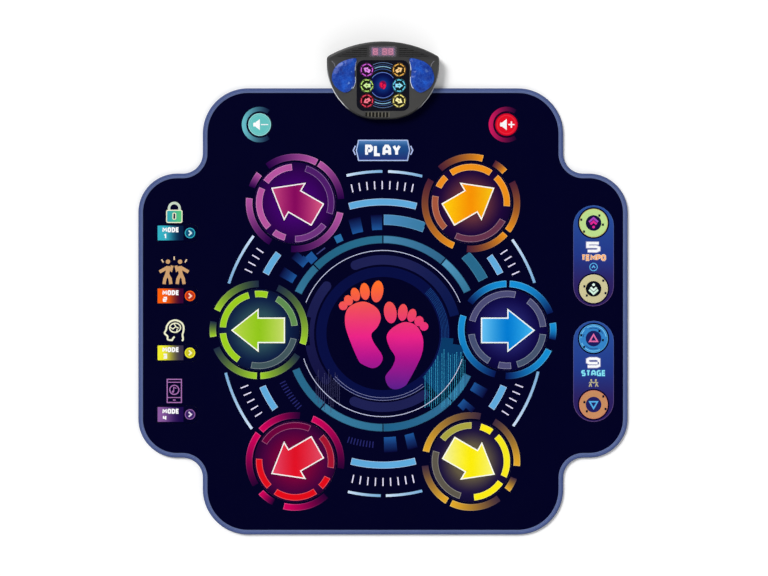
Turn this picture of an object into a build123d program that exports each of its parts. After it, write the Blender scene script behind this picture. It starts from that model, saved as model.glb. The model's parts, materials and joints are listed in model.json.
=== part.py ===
from build123d import *
from math import atan, degrees
import os

# Electronic dance mat with a control console clamped to its rear edge.
# Millimetres. The origin is on the floor under the middle of the footprint,
# +X is to the player's right, +Y runs from the player to the console, +Z is up.

# ---------------------------------------------------------------- mat outline
MAT_W, MAT_D, MAT_Y = 930.0, 848.0, -44.0
LOBE_W, LOBE_R = 685.0, 86.0
SIDE_D, SIDE_R, SIDE_Y = 540.0, 74.0, -52.0
NECK_R = 38.0

# ---------------------------------------------------------------- mat layers
LIP = 0.4
BINDING_WALL, BINDING_WIDTH = 1.0, 8.3
BASE_T, CUSHION_T, FILM_T, SPACER_T, COVER_T = 0.8, 2.5, 0.25, 1.5, 0.6
Z_BASE = LIP
Z_CUSHION = Z_BASE + BASE_T
Z_LOWER_FILM = Z_CUSHION + CUSHION_T
Z_SPACER = Z_LOWER_FILM + FILM_T
Z_UPPER_FILM = Z_SPACER + SPACER_T
Z_COVER = Z_UPPER_FILM + FILM_T
Z_MAT = Z_COVER + COVER_T

# ---------------------------------------------------------------- pads
PAD_GAP = 0.3
SPACER_GAP = 0.5
CONTACT_T = 0.1
CARBON_T = 0.2
CARBON_INSET = 3.0
LOWER_CONTACT_INSET = 6.0
ARROW_R = 77.5
ARROW_PADS = {
    "up_left": (-167, 162),
    "up_right": (167, 162),
    "left": (-236, -79),
    "right": (236, -79),
    "down_left": (-167, -329),
    "down_right": (167, -329),
}
VOLUME_R = 23.5
VOLUME_PADS = {"volume_down": (-234.5, 311), "volume_up": (234.5, 311)}
TEMPO_R = 27.5
TEMPO_PADS = {"speed_up": (400, 124), "speed_down": (400, -1)}
TEMPO_PADS |= {"level_up": (400, -95.5), "level_down": (400, -221)}
MODE_W, MODE_D, MODE_R = 82.0, 34.0, 12.0
MODE_PADS = {"mode_1": (-392.7, 105), "mode_2": (-392.7, -14.5)}
MODE_PADS |= {"mode_3": (-392.7, -122.7), "mode_4": (-392.7, -239.7)}
START_AT = (0, 262)
START_TIP, START_SHOULDER, START_HALF_D = 52.0, 47.5, 20.5

# ---------------------------------------------------------------- console shell
CONSOLE_HALF_W = 106.5
CONSOLE_REAR, CONSOLE_REAR_CORNER = 468.0, 438.5
CONSOLE_SIDE, CONSOLE_FRONT = 385.0, 320.2
CONSOLE_FRONT_HALF_W = 52.0
CORNER_R, SIDE_BEND_R, FRONT_BEND_R = 8.0, 105.0, 85.0
TRIM_T, WALL = 1.5, 2.2
Z_FLOOR, Z_SPLIT = 2.0, 18.0
FLOOR_T = 2.0
TRIM_LOW, TRIM_HIGH = 15.5, 20.5
BINDING_CLEAR_FRONT, BINDING_CLEAR_REAR = 366.0, 382.0
Z_BINDING_CLEAR = 6.9
ROOF_FRONT, ROOF_FOLD, ROOF_END = (300.0, 25.6), (434.0, 35.0), (480.0, 47.2)
ROOF_FOLD_R = 30.0
RIM_R = 3.5
HIGH = 60.0

# ---------------------------------------------------------------- console face
PANEL_AT, PANEL_W, PANEL_D, PANEL_R = (0, 383.5), 100.0, 96.0, 14.0
WINDOW_T, WINDOW_LEDGE, WINDOW_GAP = 1.2, 3.0, 0.15
ICON_X, ICON_ROWS = 30.5, (354.8, 383.5, 413.0)
ICON_HOLE_R, CENTRE_HOLE_R = 11.0, 14.0
DISPLAY_AT, DISPLAY_W, DISPLAY_D, DISPLAY_R = (0, 447.5), 51.0, 21.0, 4.0
LENS_AT, LENS_HALF_W, LENS_HALF_D, LENS_TIP_R = (74.5, 402), 23.0, 30.5, 3.0
LENS_POINTS = ((51, 432), (83.5, 423.5), (96, 398), (86.5, 379))
LENS_POINTS += ((74, 371.5), (59, 379), (53.5, 396), (56.5, 412))
LENS_RISE, LENS_FLANGE, LENS_FLANGE_T = 2.4, 1.2, 1.0
LOUVRE_ROWS = (439.0, 442.6, 446.2, 449.8, 453.4)
LOUVRE_SLOT, LOUVRE_INNER, LOUVRE_MARGIN = 1.4, 29.0, 9.0
GRIP_GROOVES, GRIP_FIRST_X, GRIP_PITCH = 7, -31.5, 6.6
GRIP_W, GRIP_DEPTH, GRIP_REAR = 5.2, 0.8, 333.0

# ---------------------------------------------------------------- console inside
Z_BOARD, BOARD_T = 22.0, 1.6
Z_BOARD_TOP = Z_BOARD + BOARD_T
LED_SIZE, LED_H = 5.0, 1.6
BAY_AT, BAY_HALF_L, BAY_D, BAY_TOP = (0, 425), 29.0, 45.0, 18.5
CELL_R, CELL_L, CELL_NUB_R, CELL_NUB_L = 7.1, 49.0, 2.75, 1.5
CELL_PITCH, CELL_Z = 15.0, 11.2
TERMINAL_T = 0.5
DOOR_HALF_W, LEDGE_HALF_W, DOOR_GAP = 42.0, 44.5, 0.3
DOOR_SCREWS, DOOR_THREAD_R, DOOR_POST_TOP, DOOR_HEAD_H = ((-36.5, 425), (36.5, 425)), 1.1, 12.0, 1.2
SPEAKER_AT, SPEAKER_R = (43, 446.5), 11.0
TAIL_W, TAIL_Y, TAIL_FOOT, TAIL_T = 30.0, 350.0, 25.0, 0.25
CONNECTOR_W, CONNECTOR_D, CONNECTOR_H = 36.0, 6.0, 4.0
CLAMP_W, CLAMP_D, CLAMP_Y = 140.0, 22.0, 353.0
SCREW_R, SCREW_HEAD_R, SCREW_HEAD_H, POST_R = 1.5, 3.0, 2.0, 4.0
CLAMP_POST_TOP, BOARD_SCREW_LOW, HOUSING_THREAD = 15.0, 14.0, 6.0
CLAMP_SCREWS = ((-62, 352), (-30, 352), (30, 352), (62, 352))
HOUSING_SCREWS = ((-86, 434), (86, 434), (-58, 363), (58, 363))
BOARD_SCREWS = ((-44, 345), (44, 345), (-44, 418), (44, 418))
BOARD_SCREW_R, BOARD_POST_R = 1.0, 3.2
FEET, FOOT_R = ((-80, 440), (80, 440), (-85, 395), (85, 395)), 6.0
SWITCH_Y, SWITCH_Z, SWITCH_TRAVEL = 463.9, 12.0, 4.0
KNOB_W, KNOB_H = 4.0, 3.0
WIRE_R, WIRE_BEND_R = 0.6, 1.2


# ---------------------------------------------------------------- shared shapes
def prism(face, low, high):
    """The flat outline raised from one height to another."""
    return extrude(Pos(0, 0, low) * face, amount=high - low)


def post(place, radius, low, high):
    """An upright round pin."""
    return prism(Pos(*place) * Circle(radius), low, high)


def block(x_span, y_span, z_span):
    """A box from its three spans."""
    spans = (x_span, y_span, z_span)
    middle = [(low + high) / 2 for low, high in spans]
    return Pos(*middle) * Box(*(high - low for low, high in spans))


def both_sides(solid):
    """The solid and its mirror image across the middle plane."""
    return [solid, mirror(solid, Plane.YZ)]


def near(value, target):
    return abs(abs(value) - target) < 0.01


def mat_outline(inset=0.0):
    """The cross-shaped mat seen from above, drawn in from its edge by inset."""
    front_rear = Pos(0, MAT_Y) * RectangleRounded(LOBE_W - 2 * inset, MAT_D - 2 * inset, LOBE_R - inset)
    sides = Pos(0, SIDE_Y) * RectangleRounded(MAT_W - 2 * inset, SIDE_D - 2 * inset, SIDE_R - inset)
    cross = front_rear + sides
    necks = [
        corner
        for corner in cross.vertices()
        if near(corner.X, LOBE_W / 2 - inset) and near(corner.Y - SIDE_Y, SIDE_D / 2 - inset)
    ]
    return fillet(necks, NECK_R + inset)


def console_outline(inset=0.0):
    """The console seen from above: a bowed rear edge, and sides that draw in to the front."""
    rear = ThreePointArc(
        (-CONSOLE_HALF_W, CONSOLE_REAR_CORNER),
        (0, CONSOLE_REAR),
        (CONSOLE_HALF_W, CONSOLE_REAR_CORNER),
    )
    rest = Polyline(
        (CONSOLE_HALF_W, CONSOLE_REAR_CORNER),
        (CONSOLE_HALF_W, CONSOLE_SIDE),
        (CONSOLE_FRONT_HALF_W, CONSOLE_FRONT),
        (-CONSOLE_FRONT_HALF_W, CONSOLE_FRONT),
        (-CONSOLE_HALF_W, CONSOLE_SIDE),
        (-CONSOLE_HALF_W, CONSOLE_REAR_CORNER),
    )
    face = make_face(rear + rest)
    for y, radius in (
        (CONSOLE_REAR_CORNER, CORNER_R),
        (CONSOLE_SIDE, SIDE_BEND_R),
        (CONSOLE_FRONT, FRONT_BEND_R),
    ):
        face = fillet([corner for corner in face.vertices() if near(corner.Y, y)], radius)
    return offset(face, amount=-inset) if inset else face


def roof_height(y):
    """Height of the console's roof above the floor, fold not rounded."""
    start, end = (ROOF_FRONT, ROOF_FOLD) if y < ROOF_FOLD[0] else (ROOF_FOLD, ROOF_END)
    return start[1] + (y - start[0]) * (end[1] - start[1]) / (end[0] - start[0])


def under_roof(drop=0.0):
    """All the space below the console's roof when the roof is lowered by drop."""
    line = [(y, z - drop) for y, z in (ROOF_FRONT, ROOF_FOLD, ROOF_END)]
    side = make_face(Polyline((ROOF_FRONT[0], 0), *line, (ROOF_END[0], 0), close=True))
    fold = [corner for corner in side.vertices() if near(corner.X, ROOF_FOLD[0])]
    return extrude(Plane.YZ * fillet(fold, ROOF_FOLD_R), amount=CONSOLE_HALF_W + 10, both=True)


def roof_band(face, top, bottom):
    """The part of an upright prism between two depths below the roof."""
    return (prism(face, Z_FLOOR, HIGH) & under_roof(top)) - under_roof(bottom)


def lens_outline(grow=0.0):
    """The right lamp's leaf shape, its tip pointing to the panel's rear corner."""
    across, along = 1 + grow / LENS_HALF_W, 1 + grow / LENS_HALF_D
    tip, tip_to_right, right, right_to_front, front, front_to_left, left, left_to_tip = [
        (LENS_AT[0] + (x - LENS_AT[0]) * across, LENS_AT[1] + (y - LENS_AT[1]) * along)
        for x, y in LENS_POINTS
    ]
    edge = ThreePointArc(tip, tip_to_right, right) + ThreePointArc(right, right_to_front, front)
    edge += ThreePointArc(front, front_to_left, left) + ThreePointArc(left, left_to_tip, tip)
    face = make_face(edge)
    return fillet([corner for corner in face.vertices() if near(corner.Y, tip[1])], LENS_TIP_R)


def panel_outline(grow=0.0):
    """The picture panel's rounded rectangle."""
    return Pos(*PANEL_AT) * RectangleRounded(PANEL_W + 2 * grow, PANEL_D + 2 * grow, PANEL_R + grow)


def display_outline(grow=0.0):
    """The number display's window."""
    return Pos(*DISPLAY_AT) * RectangleRounded(DISPLAY_W + 2 * grow, DISPLAY_D + 2 * grow, DISPLAY_R + grow)


# ---------------------------------------------------------------- mat
def pad_outlines(grow=0.0):
    """Every pad's outline by name, grown by grow on all sides."""
    outlines = {}
    for table, radius, prefix in (
        (ARROW_PADS, ARROW_R, "pad_arrow_"),
        (VOLUME_PADS, VOLUME_R, "pad_"),
        (TEMPO_PADS, TEMPO_R, "pad_"),
    ):
        for name, place in table.items():
            outlines[prefix + name] = Pos(*place) * Circle(radius + grow)
    for name, place in MODE_PADS.items():
        bar = RectangleRounded(MODE_W + 2 * grow, MODE_D + 2 * grow, MODE_R + grow)
        outlines["pad_" + name] = Pos(*place) * bar
    tip, shoulder, half = START_TIP, START_SHOULDER, START_HALF_D
    rear_side = ((tip, 0), (shoulder, half), (-shoulder, half))
    front_side = ((-tip, 0), (-shoulder, -half), (shoulder, -half))
    badge = make_face(Polyline(*rear_side, *front_side, close=True))
    if grow:
        badge = offset(badge, amount=grow, kind=Kind.INTERSECTION)
    outlines["pad_start"] = Pos(*START_AT) * badge
    return outlines


def make_pads():
    """Each pad is a patch of cover and film with a printed carbon contact under it."""
    contacts = pad_outlines(-CARBON_INSET)
    pads = {}
    for name, outline in pad_outlines().items():
        patch = prism(outline, Z_UPPER_FILM, Z_MAT)
        carbon = prism(contacts[name], Z_UPPER_FILM - CARBON_T, Z_UPPER_FILM)
        pads[name] = patch + carbon
    return pads


def with_pad_holes(sheet, gap):
    for hole in pad_outlines(gap).values():
        sheet -= prism(hole, 0, Z_MAT + 1)
    return sheet


def with_clamp_holes(sheet):
    for place in CLAMP_SCREWS:
        sheet -= post(place, SCREW_R + 0.3, 0, Z_MAT + 1)
    return sheet


def make_mat():
    """The laminated mat, from the base fabric up to the printed cover, and its sewn edge."""
    body = mat_outline(BINDING_WALL)
    clamp_window = Pos(0, CLAMP_Y) * RectangleRounded(CLAMP_W + 0.6, CLAMP_D + 0.6, 3.3)
    tail_slot = block((-TAIL_W / 2 - 0.5, TAIL_W / 2 + 0.5), (TAIL_Y - 1, TAIL_Y + 1), (0, Z_MAT + 1))
    foot_window = block(
        (-TAIL_W / 2 - 0.5, TAIL_W / 2 + 0.5),
        (TAIL_Y - TAIL_FOOT - 0.5, TAIL_Y + 1),
        (Z_SPACER, Z_UPPER_FILM),
    )
    base = prism(body, Z_BASE, Z_CUSHION) - prism(clamp_window, 0, Z_MAT)
    cushion = prism(body, Z_CUSHION, Z_LOWER_FILM) - prism(clamp_window, 0, Z_MAT)
    lower_film = with_clamp_holes(prism(body, Z_LOWER_FILM, Z_SPACER))
    spacer = with_pad_holes(prism(body, Z_SPACER, Z_UPPER_FILM), SPACER_GAP) - foot_window
    upper_film = with_pad_holes(prism(body, Z_UPPER_FILM, Z_COVER), PAD_GAP) - tail_slot
    cover = with_pad_holes(prism(body, Z_COVER, Z_MAT), PAD_GAP) - tail_slot
    binding = prism(mat_outline(), 0, Z_MAT + LIP) - prism(body, Z_BASE, Z_MAT)
    binding -= prism(mat_outline(BINDING_WIDTH), 0, Z_MAT + LIP)
    contacts = [
        prism(outline, Z_SPACER, Z_SPACER + CONTACT_T)
        for outline in pad_outlines(-LOWER_CONTACT_INSET).values()
    ]
    return {
        "base_fabric": base,
        "cushion_foam": cushion,
        "lower_film": lower_film,
        "spacer_foam": with_clamp_holes(spacer),
        "upper_film": with_clamp_holes(upper_film),
        "top_cover": with_clamp_holes(cover),
        "edge_binding": binding,
        "lower_contacts": Compound(children=contacts),
    }


def make_film_tail():
    """The circuit's ribbon, lying on the lower film and turned up into the console."""
    half = TAIL_W / 2
    foot = block((-half, half), (TAIL_Y - TAIL_FOOT, TAIL_Y + TAIL_T), (Z_SPACER, Z_SPACER + TAIL_T))
    riser = block((-half, half), (TAIL_Y, TAIL_Y + TAIL_T), (Z_SPACER, Z_BOARD - 1))
    return foot + riser


def make_clamp():
    """The plate under the mat and the four screws that pull it up to the console."""
    plate = prism(Pos(0, CLAMP_Y) * RectangleRounded(CLAMP_W, CLAMP_D, 3), Z_BASE, Z_LOWER_FILM)
    screws = []
    head_high = Z_BASE + SCREW_HEAD_H
    for place in CLAMP_SCREWS:
        plate -= post(place, SCREW_R + 0.2, 0, Z_MAT) + post(place, SCREW_HEAD_R + 0.2, 0, head_high)
        shank = post(place, SCREW_R, head_high, CLAMP_POST_TOP - 2)
        screws.append(post(place, SCREW_HEAD_R, Z_BASE, head_high) + shank)
    return {"clamp_plate": plate, "clamp_screws": Compound(children=screws)}


# ---------------------------------------------------------------- console housing
def floor_underside(place):
    """Height of the tray's underside at a place: on the mat in front, near the floor behind it."""
    return Z_FLOOR if place[1] > BINDING_CLEAR_REAR else Z_MAT


def make_console_base():
    """The lower tray: it stands on the floor behind the mat and steps up over the mat's edge."""
    outline, inside = console_outline(TRIM_T), console_outline(TRIM_T + WALL)
    step = BINDING_CLEAR_REAR
    wide = (-CONSOLE_HALF_W, CONSOLE_HALF_W)
    tray = prism(outline, Z_FLOOR, Z_SPLIT)
    tray -= block(wide, (CONSOLE_FRONT - 5, BINDING_CLEAR_FRONT), (0, Z_MAT))
    tray -= block(wide, (BINDING_CLEAR_FRONT, step), (0, Z_BINDING_CLEAR))
    cavity = prism(inside, Z_FLOOR + FLOOR_T, HIGH)
    cavity -= block(wide, (CONSOLE_FRONT - 5, step + WALL), (0, Z_BINDING_CLEAR + FLOOR_T))
    tray -= cavity

    bay_y = (BAY_AT[1] - BAY_D / 2, BAY_AT[1] + BAY_D / 2)
    bay_outer_y = (bay_y[0] - FLOOR_T, bay_y[1] + FLOOR_T)
    bay_outer_x = BAY_HALF_L + FLOOR_T
    tray += block((-bay_outer_x, bay_outer_x), bay_outer_y, (Z_FLOOR, BAY_TOP + FLOOR_T))
    ledge_z = (Z_FLOOR, Z_FLOOR + 2 * FLOOR_T)
    tray += block((-LEDGE_HALF_W, LEDGE_HALF_W), bay_outer_y, ledge_z)
    for place in HOUSING_SCREWS:
        tray += post(place, POST_R, floor_underside(place), Z_SPLIT)
    for place in CLAMP_SCREWS:
        tray += post(place, POST_R, floor_underside(place), CLAMP_POST_TOP)
    for place in BOARD_SCREWS:
        tray += post(place, BOARD_POST_R, floor_underside(place), Z_BOARD)
    for place in DOOR_SCREWS:
        tray += post(place, POST_R, Z_FLOOR + FLOOR_T, DOOR_POST_TOP)

    tray -= block((-BAY_HALF_L, BAY_HALF_L), bay_y, (Z_FLOOR, BAY_TOP))
    door_x = DOOR_HALF_W + DOOR_GAP
    tray -= block((-door_x, door_x), bay_y, (0, Z_FLOOR + FLOOR_T))
    for place in HOUSING_SCREWS:
        low = floor_underside(place)
        tray -= post(place, SCREW_R + 0.2, low, Z_SPLIT)
        tray -= post(place, SCREW_HEAD_R + 0.2, low, low + SCREW_HEAD_H)
    for place in CLAMP_SCREWS:
        tray -= post(place, SCREW_R + 0.05, Z_MAT, CLAMP_POST_TOP - 1)
    for place in BOARD_SCREWS:
        tray -= post(place, BOARD_SCREW_R + 0.05, BOARD_SCREW_LOW - 1, Z_BOARD)
    for place in DOOR_SCREWS:
        tray -= post(place, DOOR_THREAD_R + 0.3, Z_FLOOR + FLOOR_T, DOOR_POST_TOP - 1)
    tray -= block((-TAIL_W / 2 - 1, TAIL_W / 2 + 1), (TAIL_Y - 1.5, TAIL_Y + 1.5), (0, 10))
    slot_half = (KNOB_W + SWITCH_TRAVEL) / 2 + 0.6
    slot_z = (SWITCH_Z - KNOB_H / 2 - 0.4, SWITCH_Z + KNOB_H / 2 + 0.4)
    return tray - block((-slot_half, slot_half), (SWITCH_Y, CONSOLE_REAR), slot_z)


def make_console_top():
    """The upper shell with its window recesses, lamp openings, louvres and grip grooves."""
    shell = prism(console_outline(TRIM_T), Z_SPLIT, HIGH) & under_roof()
    shell = fillet([edge for edge in shell.edges() if on_rim(edge)], RIM_R)
    shell -= prism(console_outline(TRIM_T + WALL), Z_SPLIT, HIGH) & under_roof(WALL)
    for place in HOUSING_SCREWS:
        shell += post(place, POST_R, Z_SPLIT, HIGH) & under_roof(WALL / 2)
        shell -= post(place, SCREW_R + 0.05, Z_SPLIT, Z_SPLIT + HOUSING_THREAD)
    for outline in (panel_outline, display_outline):
        shell -= roof_band(outline(), -5, WINDOW_T)
        shell -= prism(outline(-WINDOW_LEDGE), Z_SPLIT, HIGH)
    for opening in both_sides(prism(lens_outline(), Z_BOARD_TOP, HIGH)):
        shell -= opening
    louvre_area = console_outline(LOUVRE_MARGIN)
    for y in LOUVRE_ROWS:
        bar = block((LOUVRE_INNER, CONSOLE_HALF_W), (y - LOUVRE_SLOT / 2, y + LOUVRE_SLOT / 2), (0, HIGH))
        slot = bar & prism(louvre_area, Z_BOARD_TOP, HIGH)
        for cut in both_sides(slot):
            shell -= cut
    for n in range(GRIP_GROOVES):
        x = GRIP_FIRST_X + n * GRIP_PITCH
        groove = Pos(x, GRIP_REAR - 10) * Rectangle(GRIP_W, 20)
        shell -= roof_band(groove, -5, GRIP_DEPTH)
    return shell


def on_rim(edge):
    """True for the roof's outer edge, false for upright edges and for the fold across the roof."""
    middle, heading = edge @ 0.5, edge % 0.5
    across_fold = abs(heading.X) > 0.99 and abs(middle.Y - ROOF_FOLD[0]) < 10
    return middle.Z > TRIM_HIGH and abs(heading.Z) < 0.5 and not across_fold


def make_trim_ring():
    """The bright band that covers the joint between the two shells."""
    ring = prism(console_outline(), TRIM_LOW, TRIM_HIGH)
    return ring - prism(console_outline(TRIM_T), TRIM_LOW, TRIM_HIGH)


def make_windows():
    """The picture panel and the display's clear cover, each on a ledge of the shell."""
    return {
        "panel_window": roof_band(panel_outline(-WINDOW_GAP), 0, WINDOW_T),
        "display_window": roof_band(display_outline(-WINDOW_GAP), 0, WINDOW_T),
    }


def make_lamps():
    """Two blue lamp lenses held from inside by a flange, and the reflector cup under each."""
    lens = roof_band(lens_outline(-0.2), -LENS_RISE, WALL)
    crown = [edge for edge in lens.edges() if edge.center().Z > roof_height(edge.center().Y) + LENS_RISE / 2]
    lens = chamfer(crown, 1.2)
    lens += roof_band(lens_outline(LENS_FLANGE), WALL, WALL + LENS_FLANGE_T)
    cup = (prism(lens_outline(LENS_FLANGE - 0.3), Z_BOARD_TOP, HIGH) & under_roof(WALL + LENS_FLANGE_T))
    cup -= prism(lens_outline(-1), Z_BOARD_TOP + 1, HIGH)
    cup -= post(LENS_AT, LED_SIZE, Z_BOARD_TOP, HIGH)
    right, left = both_sides(lens)
    return {
        "lamp_lens_right": right,
        "lamp_lens_left": left,
        "lamp_reflectors": Compound(children=both_sides(cup)),
    }


# ---------------------------------------------------------------- electronics
def make_board():
    """The circuit board with its lamps, chips and the socket for the mat's ribbon."""
    plan = Pos(0, 386) * Rectangle(96, 92) + Pos(0, 403) * Rectangle(176, 36)
    board = prism(plan, Z_BOARD, Z_BOARD_TOP)
    icons = [(side * ICON_X, y) for side in (-1, 1) for y in ICON_ROWS]
    led_places = icons + [(0, ICON_ROWS[1]), (-LENS_AT[0], LENS_AT[1]), LENS_AT]
    half = LED_SIZE / 2
    leds = [
        block((x - half, x + half), (y - half, y + half), (Z_BOARD_TOP, Z_BOARD_TOP + LED_H))
        for x, y in led_places
    ]
    chips = [
        block((x - w / 2, x + w / 2), (y - d / 2, y + d / 2), (Z_BOARD - h, Z_BOARD))
        for x, y, w, d, h in (
            (-14, 376, 14, 14, 1.6),
            (12, 374, 10, 6, 1.6),
            (27, 382, 11, 4.5, 3.6),
            (12, 388, 6, 6, 5.0),
            (-34, 380, 5, 4, 1.2),
        )
    ]
    shield = prism(Pos(*PANEL_AT) * RectangleRounded(92, 90, 10), Z_BOARD_TOP, HIGH)
    shield &= under_roof(WALL + 0.2)
    for place in icons:
        shield -= post(place, ICON_HOLE_R, Z_BOARD_TOP, HIGH)
    shield -= post((0, ICON_ROWS[1]), CENTRE_HOLE_R, Z_BOARD_TOP, HIGH)
    screws = []
    for place in BOARD_SCREWS:
        board -= post(place, BOARD_SCREW_R + 0.2, Z_BOARD, Z_BOARD_TOP)
        shield -= post(place, POST_R, Z_BOARD_TOP, HIGH)
        shank = post(place, BOARD_SCREW_R, BOARD_SCREW_LOW, Z_BOARD_TOP)
        screws.append(shank + post(place, 2, Z_BOARD_TOP, Z_BOARD_TOP + 1.3))
    socket_y = (TAIL_Y - CONNECTOR_D / 2, TAIL_Y + CONNECTOR_D / 2)
    socket = block((-CONNECTOR_W / 2, CONNECTOR_W / 2), socket_y, (Z_BOARD - CONNECTOR_H, Z_BOARD))
    mouth_x, mouth_y = (-TAIL_W / 2 - 0.3, TAIL_W / 2 + 0.3), (TAIL_Y - 0.1, TAIL_Y + TAIL_T + 0.1)
    socket -= block(mouth_x, mouth_y, (0, Z_BOARD - 1))
    return {
        "main_board": board,
        "board_leds": Compound(children=leds),
        "board_chips": Compound(children=chips),
        "light_shield": shield,
        "board_screws": Compound(children=screws),
        "film_connector": socket,
    }


def make_display_module():
    """The two-digit display, parallel to the sloping rear of the roof."""
    return roof_band(Pos(*DISPLAY_AT) * Rectangle(44, 15), WALL, WALL + 6)


def make_speakers():
    """Two small loudspeakers against the roof, under the louvres."""
    slope = degrees(atan((ROOF_END[1] - ROOF_FOLD[1]) / (ROOF_END[0] - ROOF_FOLD[0])))
    x, y = SPEAKER_AT
    seat = Pos(x, y, roof_height(y) - WALL) * Rot(X=slope)
    rim = ((9.6, 0), (SPEAKER_R, 0), (SPEAKER_R, -1), (10.4, -1))
    basket = rim + ((7, -4.5), (4, -4.5), (4, -3.9), (6.6, -3.9), (9.6, -0.8))
    cone = ((0, -3.1), (2.8, -3.1), (9.3, -0.5), (9.3, -0.8), (3, -3.5), (0, -3.5))
    magnet = ((0, -4.5), (6.5, -4.5), (6.5, -7.5), (0, -7.5))
    pieces = {}
    for name, outline in (("frames", basket), ("cones", cone), ("magnets", magnet)):
        solid = revolve(Plane.XZ * make_face(Polyline(*outline, close=True)), Axis.Z)
        pieces["speaker_" + name] = Compound(children=both_sides(seat * solid))
    return pieces


def make_battery():
    """Three cells side by side with their springs, terminals, bay door and door screws."""
    cells, springs, terminals = [], [], []
    for n in (-1, 0, 1):
        facing = 1 if n else -1
        seat = Pos(0, BAY_AT[1] + n * CELL_PITCH, CELL_Z) * Rot(Z=0 if facing > 0 else 180) * Rot(Y=90)
        front = BAY_HALF_L - TERMINAL_T - CELL_NUB_L
        rear = front - CELL_L
        cells.append(
            seat * (
                Pos(0, 0, (front + rear) / 2) * Cylinder(CELL_R, CELL_L)
                + Pos(0, 0, front + CELL_NUB_L / 2) * Cylinder(CELL_NUB_R, CELL_NUB_L)
            )
        )
        gap = rear + BAY_HALF_L - TERMINAL_T
        coil_path = Helix(pitch=gap / 4, height=gap - 0.9, radius=3.4)
        coil = sweep(Plane(coil_path @ 0, z_dir=coil_path % 0) * Circle(0.4), path=coil_path)
        springs.append(seat * (Pos(0, 0, -BAY_HALF_L + TERMINAL_T + 0.45) * coil))
        plate = Rectangle(11, 11)
        terminals.append(seat * prism(plate, BAY_HALF_L - TERMINAL_T, BAY_HALF_L))
        terminals.append(seat * prism(plate, -BAY_HALF_L, -BAY_HALF_L + TERMINAL_T))
    door_y = (BAY_AT[1] - BAY_D / 2 + DOOR_GAP, BAY_AT[1] + BAY_D / 2 - DOOR_GAP)
    door_top, head_high = Z_FLOOR + FLOOR_T, Z_FLOOR + DOOR_HEAD_H
    door = block((-DOOR_HALF_W, DOOR_HALF_W), door_y, (Z_FLOOR, door_top))
    finger_recess = Pos(0, door_y[0] + 5) * SlotOverall(20, 4)
    door -= prism(finger_recess, Z_FLOOR, Z_FLOOR + FLOOR_T / 2)
    screws = []
    for place in DOOR_SCREWS:
        door -= post(place, SCREW_R, Z_FLOOR, door_top) + post(place, SCREW_HEAD_R, Z_FLOOR, head_high)
        shank = post(place, SCREW_R, head_high, door_top)
        thread = post(place, DOOR_THREAD_R, door_top, DOOR_POST_TOP - 2)
        screws.append(post(place, SCREW_HEAD_R, Z_FLOOR, head_high) + shank + thread)
    return {
        "battery_cells": Compound(children=cells),
        "battery_springs": Compound(children=springs),
        "battery_contacts": Compound(children=terminals),
        "battery_door": door,
        "door_screws": Compound(children=screws),
    }


def make_power_switch():
    """A slide switch inside the rear wall; its knob comes out through a slot, off at rest."""
    body = block((-6, 6), (SWITCH_Y - 5, SWITCH_Y), (SWITCH_Z - 3, SWITCH_Z + 3))
    body -= block((-4.6, 4.6), (SWITCH_Y - 2, SWITCH_Y), (SWITCH_Z - 1, SWITCH_Z + 1))
    off = -SWITCH_TRAVEL / 2
    knob_x = (off - KNOB_W / 2, off + KNOB_W / 2)
    knob_z = (SWITCH_Z - KNOB_H / 2, SWITCH_Z + KNOB_H / 2)
    knob = block(knob_x, (SWITCH_Y + 0.1, CONSOLE_REAR - 0.4), knob_z)
    knob += block((off - 1, off + 1), (SWITCH_Y - 1.7, SWITCH_Y + 0.1), (SWITCH_Z - 0.8, SWITCH_Z + 0.8))
    return {"power_switch_body": body, "power_switch_knob": knob}


def wire(*points):
    """A round lead through the points, its corners rounded."""
    path = FilletPolyline(*points, radius=WIRE_BEND_R)
    return sweep(Plane(path @ 0, z_dir=path % 0) * Circle(WIRE_R), path=path)


def make_wires():
    """Leads from the battery bay and from the loudspeakers to the board."""
    bay_x = BAY_HALF_L + FLOOR_T
    battery = both_sides(wire((bay_x, 408, 14), (36.5, 408, 14), (36.5, 397, 14), (36.5, 397, Z_BOARD)))
    speakers = []
    for x in (41.5, 44.5):
        lead = wire((x, 438, 31), (x, 434, 30), (x, 430.5, 28), (x, 430.5, Z_BOARD_TOP))
        speakers += both_sides(lead)
    return {"battery_wires": Compound(children=battery), "speaker_wires": Compound(children=speakers)}


def make_fixings():
    """The screws that close the housing, and the feet behind the mat."""
    screws = []
    for place in HOUSING_SCREWS:
        low = floor_underside(place)
        head_high = low + SCREW_HEAD_H
        shank = post(place, SCREW_R, head_high, Z_SPLIT + HOUSING_THREAD - 1)
        screws.append(post(place, SCREW_HEAD_R, low + 0.1, head_high) + shank)
    feet = [post(place, FOOT_R, 0, Z_FLOOR) for place in FEET]
    return {"housing_screws": Compound(children=screws), "rubber_feet": Compound(children=feet)}


# ---------------------------------------------------------------- assembly
nodes = make_mat() | make_pads() | make_clamp() | make_windows() | make_lamps() | make_board()
nodes |= make_speakers() | make_battery() | make_power_switch() | make_wires() | make_fixings()
nodes["film_tail"] = make_film_tail()
nodes["console_base"] = make_console_base()
nodes["console_top"] = make_console_top()
nodes["trim_ring"] = make_trim_ring()
nodes["display_module"] = make_display_module()

os.makedirs("parts", exist_ok=True)
for name, solid in nodes.items():
    export_step(solid, f"parts/{name}.step")
print(len(nodes), "nodes written")
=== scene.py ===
# %% [markdown]
# # A dance mat with a control console
#
# The object is a thin padded mat, printed with six big arrow pads and a ring of light drawings, and a
# small plastic console clamped to its rear edge. The hard shapes come ready from the CAD frame. This
# script adds what cloth and ink look like: a printed cover, crowned pads, a sewn binding, foam, stitches,
# and a finish for every plastic and metal piece.

import json
import math
import random

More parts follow.
